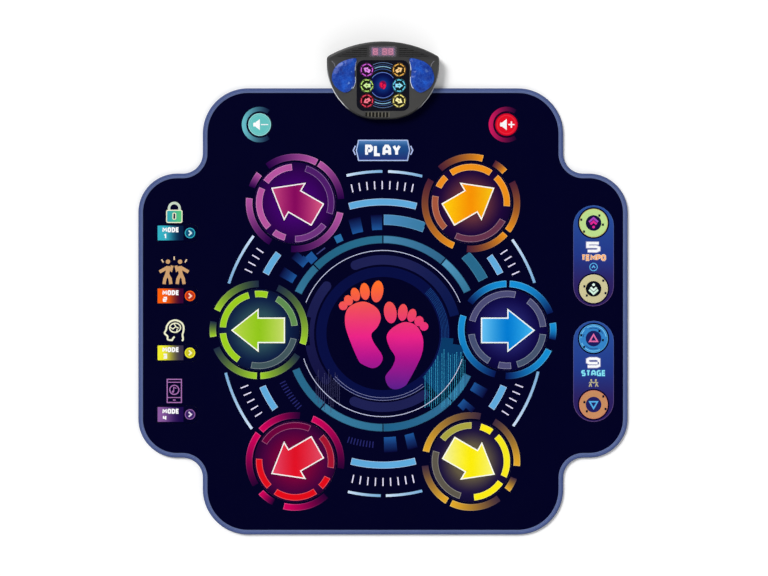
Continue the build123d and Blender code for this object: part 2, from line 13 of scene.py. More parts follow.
import bpy
import numpy as np
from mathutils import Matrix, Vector
from mathutils.geometry import delaunay_2d_cdt
from mathutils.kdtree import KDTree


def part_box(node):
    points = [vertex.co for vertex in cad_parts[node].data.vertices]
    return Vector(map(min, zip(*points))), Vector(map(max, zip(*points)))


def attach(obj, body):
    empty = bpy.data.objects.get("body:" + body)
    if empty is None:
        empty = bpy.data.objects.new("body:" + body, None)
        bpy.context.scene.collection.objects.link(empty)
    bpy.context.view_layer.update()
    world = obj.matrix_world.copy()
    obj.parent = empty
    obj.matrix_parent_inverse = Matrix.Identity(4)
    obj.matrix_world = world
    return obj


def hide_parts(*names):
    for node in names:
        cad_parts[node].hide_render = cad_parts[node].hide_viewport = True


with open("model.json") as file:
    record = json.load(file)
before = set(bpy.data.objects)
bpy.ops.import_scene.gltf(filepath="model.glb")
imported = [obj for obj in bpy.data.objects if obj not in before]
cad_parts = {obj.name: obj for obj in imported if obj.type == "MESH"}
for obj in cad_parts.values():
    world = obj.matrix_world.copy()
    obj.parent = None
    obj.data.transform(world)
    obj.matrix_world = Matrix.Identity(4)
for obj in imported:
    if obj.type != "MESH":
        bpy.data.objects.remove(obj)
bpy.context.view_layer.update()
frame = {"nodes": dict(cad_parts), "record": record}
MM = 0.001
random.seed(7)

# %% [markdown]
# ## Where things are
#
# Lengths below are millimetres, because a mat maker thinks in them, and each mesh is turned to metres
# when it is made. Heights come from the frame's own boxes. The outline is a cross with round corners:
# twelve corners, each with its own radius, are shorter to write than a list of points.


# %% The mat's outline
def corner_arc(before, corner, after, radius, steps=20):
    """The points of a rounded corner, whether it turns left or right."""
    to_before = (Vector(before) - Vector(corner)).normalized()
    to_after = (Vector(after) - Vector(corner)).normalized()
    half = to_before.angle(to_after) / 2
    middle = (to_before + to_after).normalized() * (radius / math.sin(half)) + Vector(corner)
    start = Vector(corner) + to_before * (radius / math.tan(half)) - middle
    end = Vector(corner) + to_after * (radius / math.tan(half)) - middle
    turn = start.angle(end) * (1 if start.x * end.y - start.y * end.x > 0 else -1)
    first = math.atan2(start.y, start.x)
    angles = [first + turn * i / steps for i in range(steps + 1)]
    return [(middle.x + radius * math.cos(a), middle.y + radius * math.sin(a)) for a in angles]


def rounded(corners, steps=20):
    """A closed outline from (x, y, radius) corners."""
    places = [corner[:2] for corner in corners]
    points = []
    for i, (x, y, radius) in enumerate(corners):
        points += corner_arc(places[i - 1], (x, y), places[(i + 1) % len(places)], radius, steps)
    return points


def spaced(points, step, closed=True):
    """The same line with a point at least every step."""
    ends = points[1:] + points[:1] if closed else points[1:]
    out = []
    for a, b in zip(points, ends):
        pieces = max(1, math.ceil(math.dist(a, b) / step))
        out += [(a[0] + (b[0] - a[0]) * i / pieces, a[1] + (b[1] - a[1]) * i / pieces) for i in range(pieces)]
    return out if closed else out + [points[-1]]


LOBE_X, LOBE_FRONT, LOBE_REAR, LOBE_R = 342.5, -468.0, 380.0, 86.0
SIDE_X, SIDE_FRONT, SIDE_REAR, SIDE_R = 465.0, -322.0, 218.0, 74.0
NECK_R = 38.0


def mat_outline(inset=0.0, step=6.0):
    """The cross seen from above, drawn in from its edge."""
    half = [
        (LOBE_X - inset, LOBE_FRONT + inset, LOBE_R - inset),
        (LOBE_X - inset, SIDE_FRONT + inset, NECK_R + inset),
        (SIDE_X - inset, SIDE_FRONT + inset, SIDE_R - inset),
        (SIDE_X - inset, SIDE_REAR - inset, SIDE_R - inset),
        (LOBE_X - inset, SIDE_REAR - inset, NECK_R + inset),
        (LOBE_X - inset, LOBE_REAR - inset, LOBE_R - inset),
    ]
    return spaced(rounded(half + [(-x, y, r) for x, y, r in reversed(half)]), step)


print("mat outline:", len(mat_outline()), "points")


# %% The pads' outlines
def circle(x, y, radius, count=96):
    turns = [2 * math.pi * i / count for i in range(count)]
    return [(x + radius * math.cos(t), y + radius * math.sin(t)) for t in turns]


def middle_of(node):
    low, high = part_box(node)
    return (low.x + high.x) / 2 / MM, (low.y + high.y) / 2 / MM


def pad_radius(node):
    low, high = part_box(node)
    return (high.x - low.x) / 2 / MM


def pad_outline(node, grow=0.0):
    """A pad seen from above: a disc, a rounded bar or the six-sided badge."""
    low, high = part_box(node)
    x, y = middle_of(node)
    half_w, half_d = (high.x - low.x) / 2 / MM + grow, (high.y - low.y) / 2 / MM + grow
    if "mode" in node:
        corners = [(x + half_w, y - half_d), (x + half_w, y + half_d)]
        corners += [(x - half_w, y + half_d), (x - half_w, y - half_d)]
        return spaced(rounded([(*corner, 12 + grow) for corner in corners], 10), 4)
    if "start" in node:
        shoulder = half_w - 4.5
        corners = [(half_w, 0), (shoulder, half_d), (-shoulder, half_d)]
        corners += [(-half_w, 0), (-shoulder, -half_d), (shoulder, -half_d)]
        return spaced(rounded([(x + a, y + b, 1.2) for a, b in corners], 4), 4)
    return circle(x, y, half_w, 128 if half_w > 50 else 64)


PADS = [name for name in frame["nodes"] if name.startswith("pad_")]
Z_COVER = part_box("top_cover")[1].z / MM
print(len(PADS), "pads, cover surface at", round(Z_COVER, 2), "mm")

# %% [markdown]
# ## Slabs with holes
#
# Cloth, foam and ink are all flat shapes with some thickness, often with holes. A boolean would work, but
# it leaves long thin triangles that bend badly. Here a constrained Delaunay triangulation fills the
# outline, with extra points inside, so that the top face can follow a curved surface.


# %% Fill an outline and give it thickness
def inside(spots, loops):
    """Which spots lie inside an odd number of the loops."""
    x, y = spots[:, 0], spots[:, 1]
    odd = np.zeros(len(spots), bool)
    for loop in loops:
        for (ax, ay), (bx, by) in zip(loop, loop[1:] + loop[:1]):
            if ay != by:
                odd ^= ((ay > y) != (by > y)) & (x < ax + (y - ay) * (bx - ax) / (by - ay))
    return odd


def grid_inside(loops, step, clear):
    """A triangular grid of points inside the loops and clear of their lines."""
    outer = np.array(loops[0])
    low, high = outer.min(0), outer.max(0)
    rows = []
    for j, y in enumerate(np.arange(low[1], high[1], step * 0.866)):
        xs = np.arange(low[0] + (j % 2) * step / 2, high[0], step)
        rows.append(np.column_stack([xs, np.full(len(xs), y)]))
    spots = np.concatenate(rows)
    spots = spots[inside(spots, loops)]
    lines = [point for loop in loops for point in spaced(loop, clear)]
    tree = KDTree(len(lines))
    for i, (x, y) in enumerate(lines):
        tree.insert((x, y, 0), i)
    tree.balance()
    far = [tree.find((x, y, 0))[2] > clear for x, y in spots]
    return [tuple(spot) for spot in spots[np.array(far, bool)]] if len(spots) else []


def fill(loops, inner=()):
    """Triangles between the loops: points as an array, and index triples turning left."""
    points, edges = [], []
    for loop in loops:
        first = len(points)
        points += loop
        edges += [(first + i, first + (i + 1) % len(loop)) for i in range(len(loop))]
    made = delaunay_2d_cdt([Vector(p) for p in [*points, *inner]], edges, [], 0, 1e-5)
    spots, triangles = np.array([tuple(v) for v in made[0]]), np.array(made[2])
    triangles = triangles[inside(spots[triangles].mean(axis=1), loops)]
    a, b, c = (spots[triangles[:, i]] for i in range(3))
    turned = (b[:, 0] - a[:, 0]) * (c[:, 1] - a[:, 1]) < (b[:, 1] - a[:, 1]) * (c[:, 0] - a[:, 0])
    triangles[turned] = triangles[turned][:, ::-1]
    return spots, triangles.tolist()


def thicken(faces, count):
    """Top faces, the same faces below turned over, and walls round the border."""
    ways = {(a, b) for face in faces for a, b in zip(face, face[1:] + face[:1])}
    border = [(a, b) for a, b in ways if (b, a) not in ways]
    walls = [[a, a + count, b + count, b] for a, b in sorted(border)]
    return faces + [[i + count for i in reversed(face)] for face in faces] + walls


def make_piece(name, points_mm, faces, material, body, smooth=True, inks=None):
    """A mesh object at the origin that rides on a body; inks are 0-255 colours, one for each point."""
    mesh = bpy.data.meshes.new(name)
    mesh.from_pydata((np.asarray(points_mm, float) * MM).tolist(), [], faces)
    mesh.validate()
    mesh.shade_smooth() if smooth else mesh.shade_flat()
    if inks is not None:
        part = np.clip(np.asarray(inks, float) / 255, 0, 1)
        linear = np.where(part <= 0.04045, part / 12.92, ((part + 0.055) / 1.055) ** 2.4)
        layer = mesh.color_attributes.new(name="ink", type="FLOAT_COLOR", domain="POINT")
        layer.data.foreach_set("color", np.column_stack([linear, np.ones(len(linear))]).ravel())
    mesh.materials.append(material)
    piece = bpy.data.objects.new(name, mesh)
    bpy.context.scene.collection.objects.link(piece)
    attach(piece, body)
    return piece


CREASE = math.radians(40)


def slab(name, spots, faces, top, bottom, material, body, smooth=True, inks=None):
    """A closed piece between two heights, each a number or one value for each spot."""
    flat = np.ones(len(spots))
    points = np.concatenate([np.column_stack([spots, flat * height]) for height in (top, bottom)])
    piece = make_piece(name, points, thicken(faces, len(spots)), material, body, smooth, inks)
    if smooth:
        piece.data.set_sharp_from_angle(angle=CREASE)
    return piece


# %% [markdown]
# ## Shader groups
#
# Four effects turn up on many finishes: a woven surface, the fine grain of moulded plastic, edges rubbed
# lighter by hands, and dust. Each is one node group with named inputs, so a material only says how much.
# The groups give out values and normals; the Principled shader itself stays in the material.


# %% Helpers for node trees
class Nodes:
    """A short way to add and join nodes in one tree."""

    def __init__(self, tree):
        self.tree = tree

    def put(self, socket, value):
        """Joins an input to another node's output, or gives it a plain value."""
        if isinstance(value, bpy.types.NodeSocket):
            self.tree.links.new(value, socket)
        else:
            socket.default_value = (*value, 1) if socket.type == "RGBA" else value

    def set(self, node, **values):
        """Fills the inputs of these names; any other name is a setting of the node itself."""
        for key, value in values.items():
            label = key.replace("_", " ")
            if label in node.inputs:
                self.put(node.inputs[label], value)
            else:
                setattr(node, key, value)
        return node

    def add(self, kind, **values):
        return self.set(self.tree.nodes.new(kind), **values)

    def group(self, tree, **values):
        return self.add("ShaderNodeGroup", node_tree=tree, **values)

    def pattern(self, kind, **values):
        """A node laid over the object's own coordinates."""
        return self.add(kind, Vector=self.add("ShaderNodeTexCoord").outputs["Object"], **values)

    def bump(self, height, distance, strength):
        node = self.add("ShaderNodeBump", Height=height, Distance=distance, Strength=strength)
        return node.outputs["Normal"]

    def math(self, operation, a, b=0.5):
        node = self.add("ShaderNodeMath", operation=operation)
        self.put(node.inputs[0], a)
        self.put(node.inputs[1], b)
        return node.outputs[0]

    def scaled(self, value, times, plus):
        return self.math("ADD", self.math("MULTIPLY", value, times), plus)

    def ramp(self, source, *stops):
        node = self.add("ShaderNodeValToRGB", Fac=source)
        ramp = node.color_ramp
        while len(ramp.elements) < len(stops):
            ramp.elements.new(0.5)
        for element, (place, value) in zip(ramp.elements, stops):
            element.position = place
            element.color = (*value, 1) if isinstance(value, tuple) else (value, value, value, 1)
        return node.outputs["Color"]

    def mix(self, share, a, b):
        node = self.add("ShaderNodeMix", data_type="RGBA")
        for i, value in ((0, share), (6, a), (7, b)):
            self.put(node.inputs[i], value)
        return node.outputs[2]


def new_group(name, inputs, outputs, kind="ShaderNodeTree"):
    """A node group whose inputs are (name, socket type) or (name, socket type, default)."""
    group = bpy.data.node_groups.new(name, kind)
    for label, socket, *default in inputs:
        made = group.interface.new_socket(label, in_out="INPUT", socket_type=socket)
        if default:
            made.default_value = default[0]
    for label, socket in outputs:
        group.interface.new_socket(label, in_out="OUTPUT", socket_type=socket)
    nodes = Nodes(group)
    return group, nodes, nodes.add("NodeGroupInput"), nodes.add("NodeGroupOutput")


def rgb(red, green, blue):
    """0-255 screen values as the linear values that shaders use."""
    parts = [v / 255 for v in (red, green, blue)]
    return tuple(v / 12.92 if v <= 0.04045 else ((v + 0.055) / 1.055) ** 2.4 for v in parts)


# %% [markdown]
# ### Weave
#
# Oxford cloth is a plain weave: threads pass over and under each other in turn. Two sets of waves at right
# angles, multiplied, give that checker of little pillows. A slow noise makes some threads lie higher.

# %% Weave group
FLOAT, VECTOR = "NodeSocketFloat", "NodeSocketVector"
weave, n, given, result = new_group(
    "woven_surface",
    [("Threads per metre", FLOAT, 1400.0), ("Depth", FLOAT, 0.5), ("Vector", VECTOR)],
    [("Normal", VECTOR), ("Wear", FLOAT)],
)
run = given.outputs["Vector"]
cross = n.add("ShaderNodeSeparateXYZ", Vector=run)
turns = n.math("MULTIPLY", given.outputs["Threads per metre"], math.pi)
warp, weft = [n.math("SINE", n.math("MULTIPLY", cross.outputs[axis], turns)) for axis in "XY"]
pillows = n.scaled(n.math("MULTIPLY", warp, weft), 0.5, 0.5)
slub = n.add("ShaderNodeTexNoise", Scale=90.0, Detail=3.0, Vector=run)
height = n.math("ADD", n.math("MULTIPLY", pillows, 0.8), n.math("MULTIPLY", slub.outputs["Fac"], 0.5))
patch = n.add("ShaderNodeTexNoise", Scale=9.0, Detail=6.0, Roughness=0.65, Vector=run)
wear = n.ramp(patch.outputs["Fac"], (0.42, 0.0), (0.75, 1.0))
n.set(result, Normal=n.bump(height, 0.0003, given.outputs["Depth"]), Wear=wear)

# %% Grain, rubbed edges and dust
grain, n, given, result = new_group(
    "moulded_grain", [("Scale", FLOAT, 900.0), ("Depth", FLOAT, 0.2)], [("Normal", VECTOR), ("Shade", FLOAT)]
)
specks = n.pattern("ShaderNodeTexNoise", Detail=2.0, Scale=given.outputs["Scale"]).outputs["Fac"]
n.set(result, Normal=n.bump(specks, 0.0002, given.outputs["Depth"]), Shade=specks)

rubbed, n, given, result = new_group(
    "rubbed_edges", [("Width", FLOAT, 0.0012), ("Amount", FLOAT, 0.6)], [("Mask", FLOAT)]
)
soft = n.add("ShaderNodeBevel", samples=4, Radius=given.outputs["Width"])
facing = n.add("ShaderNodeVectorMath", operation="DOT_PRODUCT")
n.put(facing.inputs[0], soft.outputs["Normal"])
n.put(facing.inputs[1], n.add("ShaderNodeNewGeometry").outputs["Normal"])
edge = n.ramp(facing.outputs["Value"], (0.86, 1.0), (0.985, 0.0))
breaks = n.pattern("ShaderNodeTexNoise", Scale=160.0, Detail=4.0)
worn = n.math("MULTIPLY", edge, n.ramp(breaks.outputs["Fac"], (0.35, 0.0), (0.65, 1.0)))
n.set(result, Mask=n.math("MULTIPLY", worn, given.outputs["Amount"]))

dust, n, given, result = new_group("settled_dust", [("Amount", FLOAT, 0.1)], [("Mask", FLOAT)])
upward = n.add("ShaderNodeSeparateXYZ", Vector=n.add("ShaderNodeNewGeometry").outputs["Normal"])
cloud = n.pattern("ShaderNodeTexNoise", Scale=14.0, Detail=8.0, Roughness=0.7)
lying = n.math("MULTIPLY", n.math("MAXIMUM", upward.outputs["Z"], 0.0), cloud.outputs["Fac"])
n.set(result, Mask=n.math("MULTIPLY", lying, given.outputs["Amount"]))
print("shader groups:", [g.name for g in bpy.data.node_groups])


# %% [markdown]
# ## Finishes
#
# Every finish starts from the same few steps: a base colour that varies, a roughness that varies with it,
# and a bump. What differs is which group drives them, and the plain numbers on the shader's sockets.

# %% Start a material
FINISHES = {}


def new_finish(name, **sockets):
    """A material with its Principled shader, and the node helper for its tree."""
    material = FINISHES[name] = bpy.data.materials.new(name)
    material.use_nodes = True
    nodes = Nodes(material.node_tree)
    return material, nodes, nodes.set(material.node_tree.nodes["Principled BSDF"], **sockets)


# %% [markdown]
# ### Printed cloth
#
# The cover is a coated cloth printed in one pass, so ink and ground share the same weave. Where a piece
# carries many colours they are kept on its points, in an attribute called ink, and the shader reads it.
# Images would be simpler to paint, but points keep every printed edge sharp at any distance.

# %% Printed cloth finish
CLOTH_GLOSS = 0.015


def cloth_finish(name, colour=None, threads=1500.0, depth=0.35, roughness=0.5, lift=0.06, uv=None, glow=0.0):
    """Woven cloth in one colour, or in the colours kept on its points."""
    material, nodes, shader = new_finish(name, Specular_IOR_Level=CLOTH_GLOSS)
    if uv:
        run = nodes.add("ShaderNodeUVMap", uv_map=uv).outputs["UV"]
    else:
        run = nodes.add("ShaderNodeTexCoord").outputs["Object"]
    woven = nodes.group(weave, Threads_per_metre=threads, Depth=depth, Vector=run)
    ground = colour or nodes.add("ShaderNodeAttribute", attribute_name="ink").outputs["Color"]
    pale = nodes.mix(nodes.group(dust, Amount=lift).outputs["Mask"], ground, (0.35, 0.37, 0.42))
    shade = nodes.mix(nodes.math("MULTIPLY", woven.outputs["Wear"], 0.10), pale, (0.0, 0.0, 0.004))
    rough = nodes.scaled(woven.outputs["Wear"], 0.12, roughness)
    nodes.set(shader, Base_Color=shade, Roughness=rough, Normal=woven.outputs["Normal"])
    if glow:
        nodes.set(shader, Emission_Color=shade, Emission_Strength=glow)
    return material


NAVY = (0, 0, 34)
cover_cloth = cloth_finish("cover_cloth", rgb(*NAVY), lift=0.002)
pad_cloth = cloth_finish("pad_cloth", lift=0.002)
printed_ink = cloth_finish("printed_ink", lift=0.0, depth=0.25)
binding_cloth = cloth_finish("binding_cloth", None, 900.0, 0.9, 0.8, 0.04, uv="run")
thread = cloth_finish("binding_thread", rgb(120, 137, 186), 2500.0, 0.6, 0.7, 0.03)
base_cloth = cloth_finish("base_cloth", rgb(38, 38, 42), 1100.0, 0.8, 0.85, 0.10)


# %% Plastic finish
FRONT_Y, REACH_Y = 320.0, 150.0


def plastic_finish(
    name, colour, roughness, scale=1500.0, depth=0.12, wear=0.5, grime=0.05, along=None, **sockets
):
    """Moulded plastic: fine grain, edges rubbed lighter, and a little dust on what faces up.

    along: (y in mm, colour) stops of painted light and shade, which change the moulding's tone from the front
    to the rear."""
    material, nodes, shader = new_finish(name, **sockets)
    skin = nodes.group(grain, Scale=scale, Depth=depth)
    edges = nodes.group(rubbed, Amount=wear)
    settled = nodes.group(dust, Amount=grime)
    shade = skin.outputs["Shade"]
    rubbed_tone = tuple(min(1.0, v * 2.2 + 0.03) for v in colour)
    deep = tuple(v * 0.8 for v in colour)
    if along:
        # The tone along Y is painted light and shade, with a trace of the grain mixed in.
        y = nodes.pattern("ShaderNodeSeparateXYZ").outputs["Y"]
        share = nodes.math("DIVIDE", nodes.math("SUBTRACT", y, FRONT_Y * MM), REACH_Y * MM)
        stops = [((at - FRONT_Y) / REACH_Y, tone) for at, tone in along]
        mottled = nodes.mix(nodes.math("MULTIPLY", shade, 0.1), nodes.ramp(share, *stops), deep)
    else:
        mottled = nodes.mix(shade, deep, colour)
    worn = nodes.mix(edges.outputs["Mask"], mottled, rubbed_tone)
    base = nodes.mix(settled.outputs["Mask"], worn, (0.45, 0.45, 0.44))
    rough = nodes.scaled(shade, 0.16, roughness - 0.08)
    nodes.set(shader, Base_Color=base, Roughness=rough, Normal=skin.outputs["Normal"])
    return material


SHELL, SHELL_REAR, SHELL_END = rgb(46, 46, 46), rgb(31, 31, 33), rgb(26, 26, 28)
# Trim ring: a painted reflection, bright on its sides beside the lenses, with painted shade at the front and
# the rear.
TRIM_HIGHLIGHT, TRIM_HALF_SHADE, TRIM_DEEP_SHADE = rgb(238, 240, 246), rgb(60, 60, 62), rgb(22, 22, 24)
# Housing: painted shade, the shell's tone darkening towards the rear band and the rear edge.
HOUSING_PAINTED_SHADE = [(330, rgb(50, 49, 48)), (415, SHELL), (440, SHELL_REAR), (470, SHELL_END)]
TRIM_PAINTED_REFLECTION = [(324, TRIM_DEEP_SHADE), (338, TRIM_HALF_SHADE), (350, TRIM_HIGHLIGHT), (385, TRIM_HIGHLIGHT), (425, TRIM_HALF_SHADE), (445, TRIM_DEEP_SHADE)]
plastic_finish("housing_plastic", rgb(50, 49, 48), 0.46, 2200.0, 0.35, 0.45, 0.05, HOUSING_PAINTED_SHADE)
plastic_finish("trim_plastic", TRIM_HIGHLIGHT, 0.22, 700.0, 0.03, 0.0, 0.0, TRIM_PAINTED_REFLECTION, Metallic=0.1)
plastic_finish("panel_film", rgb(3, 4, 22), 0.16, 500.0, 0.02, 0.2, 0.01, Coat_Weight=0.5)
PLAIN_PLASTICS = [
    ("white_plastic", (228, 228, 222), 0.35),
    ("black_plastic", (24, 24, 26), 0.4),
    ("display_body", (96, 78, 112), 0.3),
    ("led_epoxy", (238, 236, 214), 0.12, 300.0, 0.02, 0.0),
    ("rubber_black", (26, 26, 27), 0.82, 3000.0, 0.5, 0.2, 0.2),
    ("wire_jacket", (190, 40, 38), 0.5, 900.0, 0.1, 0.0),
    ("cell_jacket", (60, 110, 170), 0.25, 200.0, 0.02, 0.3),
    ("carbon_print", (22, 22, 23), 0.7, 2600.0, 0.4, 0.0),
    ("speaker_cone", (30, 30, 31), 0.9, 1200.0, 0.6, 0.1),
]
for name, colour, *feel in PLAIN_PLASTICS:
    plastic_finish(name, rgb(*colour), *feel)
print("plastic finishes ready")


# %% [markdown]
# ### Metal, film, foam and the board
#
# Steel screws keep faint turning marks, so their roughness comes from a stretched noise. Foam shows cut
# cells, which a Voronoi pattern gives. The board's green mask has paler copper runs under it: a brick
# pattern with thin mortar is close enough at this size.


# %% Other finishes
def metal_finish(name, colour, roughness):
    material, nodes, shader = new_finish(name, Metallic=1.0)
    stretch = nodes.pattern("ShaderNodeMapping", Scale=(300.0, 300.0, 4000.0))
    marks = nodes.add("ShaderNodeTexNoise", Scale=1.0, Detail=3.0, Vector=stretch.outputs["Vector"])
    tone = nodes.mix(marks.outputs["Fac"], tuple(v * 0.75 for v in colour), colour)
    base = nodes.mix(nodes.group(rubbed, Amount=0.4).outputs["Mask"], tone, (0.95, 0.95, 0.95))
    nodes.set(shader, Base_Color=base, Roughness=nodes.scaled(marks.outputs["Fac"], 0.2, roughness - 0.1))


def foam_finish():
    material, nodes, shader = new_finish("cut_foam", Roughness=0.95, Specular_IOR_Level=0.2)
    cells = nodes.pattern("ShaderNodeTexVoronoi", Scale=700.0).outputs["Distance"]
    tone = nodes.mix(cells, rgb(236, 235, 228), rgb(196, 194, 184))
    nodes.set(shader, Base_Color=tone, Normal=nodes.bump(cells, 0.0004, 0.6))
    return material


def board_finish():
    material, nodes, shader = new_finish("circuit_board", Coat_Weight=0.4)
    greens = {"Color1": rgb(20, 96, 52), "Color2": rgb(24, 110, 60), "Mortar": rgb(70, 150, 84)}
    runs = nodes.pattern("ShaderNodeTexBrick", Scale=110.0, Mortar_Size=0.035, **greens)
    settled = nodes.group(dust, Amount=0.1)
    base = nodes.mix(settled.outputs["Mask"], runs.outputs["Color"], (0.5, 0.5, 0.48))
    nodes.set(shader, Base_Color=base, Roughness=nodes.scaled(runs.outputs["Fac"], 0.2, 0.3))


def clear_finish(name, colour, roughness):
    """Clear film or moulding: it keeps plain transmission, and only its tint and gloss vary."""
    material, nodes, shader = new_finish(name, Transmission_Weight=0.9, IOR=1.45)
    haze = nodes.pattern("ShaderNodeTexNoise", Scale=60.0, Detail=4.0).outputs["Fac"]
    tone = nodes.mix(haze, colour, tuple(v * 0.9 for v in colour))
    nodes.set(shader, Base_Color=tone, Roughness=nodes.scaled(haze, 0.08, roughness))


metal_finish("zinc_plated_steel", (0.62, 0.62, 0.64), 0.34)
metal_finish("spring_steel", (0.74, 0.72, 0.68), 0.2)
cut_foam = foam_finish()
board_finish()
clear_finish("clear_film", (0.86, 0.88, 0.9), 0.08)
clear_finish("display_clear", (0.80, 0.70, 0.84), 0.02)


# %% [markdown]
# ### Crackled blue lens
#
# The lamp covers are clear blue plastic, faceted inside like cracked ice, so light catches here and there.
# Real glass rendering would need many samples. So the light is painted instead: a saturated base, pale veins
# from a Voronoi edge pattern as painted light in the cracks, a few bright cells as painted glints, and a low
# glow as painted light from within give the same look at once.


# %% Lens finish
def lens_finish():
    material, nodes, shader = new_finish(
        "lens_blue", Coat_Weight=0.1, Coat_Roughness=0.25, Roughness=0.42, Specular_IOR_Level=0.3
    )
    cells = nodes.pattern("ShaderNodeTexVoronoi", Scale=190.0)
    veins = nodes.pattern("ShaderNodeTexVoronoi", Scale=190.0, feature="DISTANCE_TO_EDGE")
    cloud = nodes.pattern("ShaderNodeTexNoise", Scale=70.0, Detail=3.0)
    deep, mid, pale = rgb(1, 36, 126), rgb(2, 60, 162), rgb(16, 88, 200)
    tone = nodes.ramp(cloud.outputs["Fac"], (0.3, deep), (0.55, mid), (0.8, pale))
    # Painted light: pale veins where the cracks would catch the lamps.
    bright = nodes.math("MULTIPLY", nodes.ramp(veins.outputs["Distance"], (0.0, 1.0), (0.05, 0.0)), 0.22)
    # Painted glints on a few cells.
    painted_glints = nodes.math("MULTIPLY", nodes.ramp(cells.outputs["Color"], (0.9, 0.0), (0.96, 1.0)), 0.5)
    lit = nodes.mix(painted_glints, nodes.mix(bright, tone, rgb(90, 150, 235)), rgb(170, 210, 255))
    facets = nodes.bump(cells.outputs["Distance"], 0.0008, 0.5)
    # The low glow is painted light standing in for light passing through the blue plastic.
    nodes.set(shader, Base_Color=lit, Emission_Color=lit, Emission_Strength=0.12, Normal=facets)
    return material


lens_blue = lens_finish()

# %% Dress the CAD pieces
FINISH_OF_SLOT = {
    "printed_film": "pad_cloth",
    "binding_cloth": "base_cloth",
    "foam": "cut_foam",
    "steel": "zinc_plated_steel",
}
for part in frame["record"]["subparts"]:
    slot = part["material_slot"]
    dressed = frame["nodes"][part["node"]]
    dressed.data.materials.clear()
    dressed.data.materials.append(FINISHES[FINISH_OF_SLOT.get(slot, slot)])

# %% [markdown]
# ## The cover cloth
#
# The cover is one sheet over foam, so it is never quite flat: slow waves of a fraction of a millimetre
# catch the light. It also dips to each pad's welded edge. One function gives the height anywhere, and the
# ink printed later asks the same function, so it always lies on the cloth.

# %% Height of the cover
hole_loops = [pad_outline(pad, 0.3) for pad in PADS]
border_points = [p for loop in hole_loops for p in spaced(loop, 3)]
hole_count = len(border_points)
border_points += spaced(mat_outline(9.0), 3)
border_tree = KDTree(len(border_points))
for i, (x, y) in enumerate(border_points):
    border_tree.insert((x, y, 0), i)
border_tree.balance()
swell_dice = random.Random(3)
SWELLS = [
    (swell_dice.uniform(0, math.tau), swell_dice.uniform(110, 260), swell_dice.uniform(0, math.tau))
    for _ in range(6)
]


def smooth_step(values):
    values = np.clip(values, 0, 1)
    return values * values * (3 - 2 * values)


WAVE, CALM_BORDER, DIP_REACH = 0.075, 35, 1.8


def cover_height(x, y, rim=0.32):
    """Height of the cover's top face in millimetres."""
    found = [border_tree.find((a, b, 0)) for a, b in zip(x, y)]
    away = np.array([f[2] for f in found])
    at_hole = np.array([f[1] < hole_count for f in found])
    waves = sum(
        np.sin((x * math.cos(way) + y * math.sin(way)) * math.tau / length + phase)
        for way, length, phase in SWELLS
    )
    dip = np.where(at_hole, (1 - np.clip(away / DIP_REACH, 0, 1)) ** 2, 0)
    return Z_COVER + WAVE * waves * smooth_step(away / CALM_BORDER) - rim * dip


# %% Cut and lay the cover
def moved_out(loop, distance):
    """A closed outline moved sideways along its own normals, outwards when distance is positive."""
    line = np.array(loop)
    along = np.roll(line, -1, 0) - np.roll(line, 1, 0)
    along /= np.linalg.norm(along, axis=1)[:, None]
    turned = np.column_stack([along[:, 1], -along[:, 0]])
    return [tuple(p) for p in line + turned * distance]


def area_of(loop):
    x, y = np.array(loop).T
    return abs((x * np.roll(y, -1) - y * np.roll(x, -1)).sum()) / 2


COVER_T, COVER_GRID = 0.6, 8.0
cover_loops = [mat_outline(1.0, 5.0), *hole_loops]
near_holes = [p for loop in hole_loops for d in (0.6, 1.2, 2.0) for p in moved_out(loop, d)]
spots, faces = fill(cover_loops, near_holes + grid_inside(cover_loops, COVER_GRID, 4.0))
top = cover_height(spots[:, 0], spots[:, 1])
cover = slab("cover_sheet", spots, faces, top, top - COVER_T, cover_cloth, "mat")
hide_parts("top_cover")

# %% [markdown]
# ## The pads
#
# Each pad is a patch of the same cloth with a little loft under it. Its rim rolls down to the weld, and
# its face rises softly to the middle. A disc with a bevel would look like a coin, so the height is a
# function of the distance to the edge, worked out for any convex outline.

# %% Height and colour of a pad
GLOWS = {
    "arrow_up_left": ((64, 0, 106), (48, 0, 80)),
    "arrow_up_right": ((94, 46, 58), (28, 4, 56)),
    "arrow_left": ((44, 78, 88), (12, 30, 66)),
    "arrow_right": ((34, 34, 104), (12, 6, 68)),
    "arrow_down_left": ((118, 0, 56), (72, 0, 60)),
    "arrow_down_right": ((98, 88, 66), (26, 16, 60)),
}


def depth_inside(loop, x, y):
    """How far each spot is from a convex outline, measured inwards."""
    line = np.array(loop)
    along = np.roll(line, -1, 0) - line
    along /= np.linalg.norm(along, axis=1)[:, None]
    best = np.full(len(x), 1e9)
    for (px, py), (dx, dy) in zip(line, along):
        best = np.minimum(best, (y - py) * dx - (x - px) * dy)
    return best


ROLL_W, ROLL_DROP, CROWN_W, CROWN_RISE = 2.6, 0.5, 26, 0.45


def pad_surface(loop):
    """A function that gives the height of this pad's face."""

    def height(x, y):
        depth = depth_inside(loop, x, y)
        rim = ROLL_DROP * (1 - np.clip(depth / ROLL_W, 0, 1)) ** 2
        return Z_COVER + CROWN_RISE * smooth_step(depth / CROWN_W) - rim

    return height


def glow_of(pad, spots):
    """The glow printed round each arrow: bright near it, a dark tint further out, near navy at the rim."""
    short = pad.removeprefix("pad_")
    if short not in GLOWS:
        return np.tile(np.array(NAVY, float), (len(spots), 1))
    near, far = GLOWS[short]
    rim = [(a + b) / 2 for a, b in zip(far, NAVY)]
    out = np.hypot(*(spots - np.array(middle_of(pad))).T)
    return np.column_stack([np.interp(out, (32, 60, 79), inks) for inks in zip(near, far, rim)])


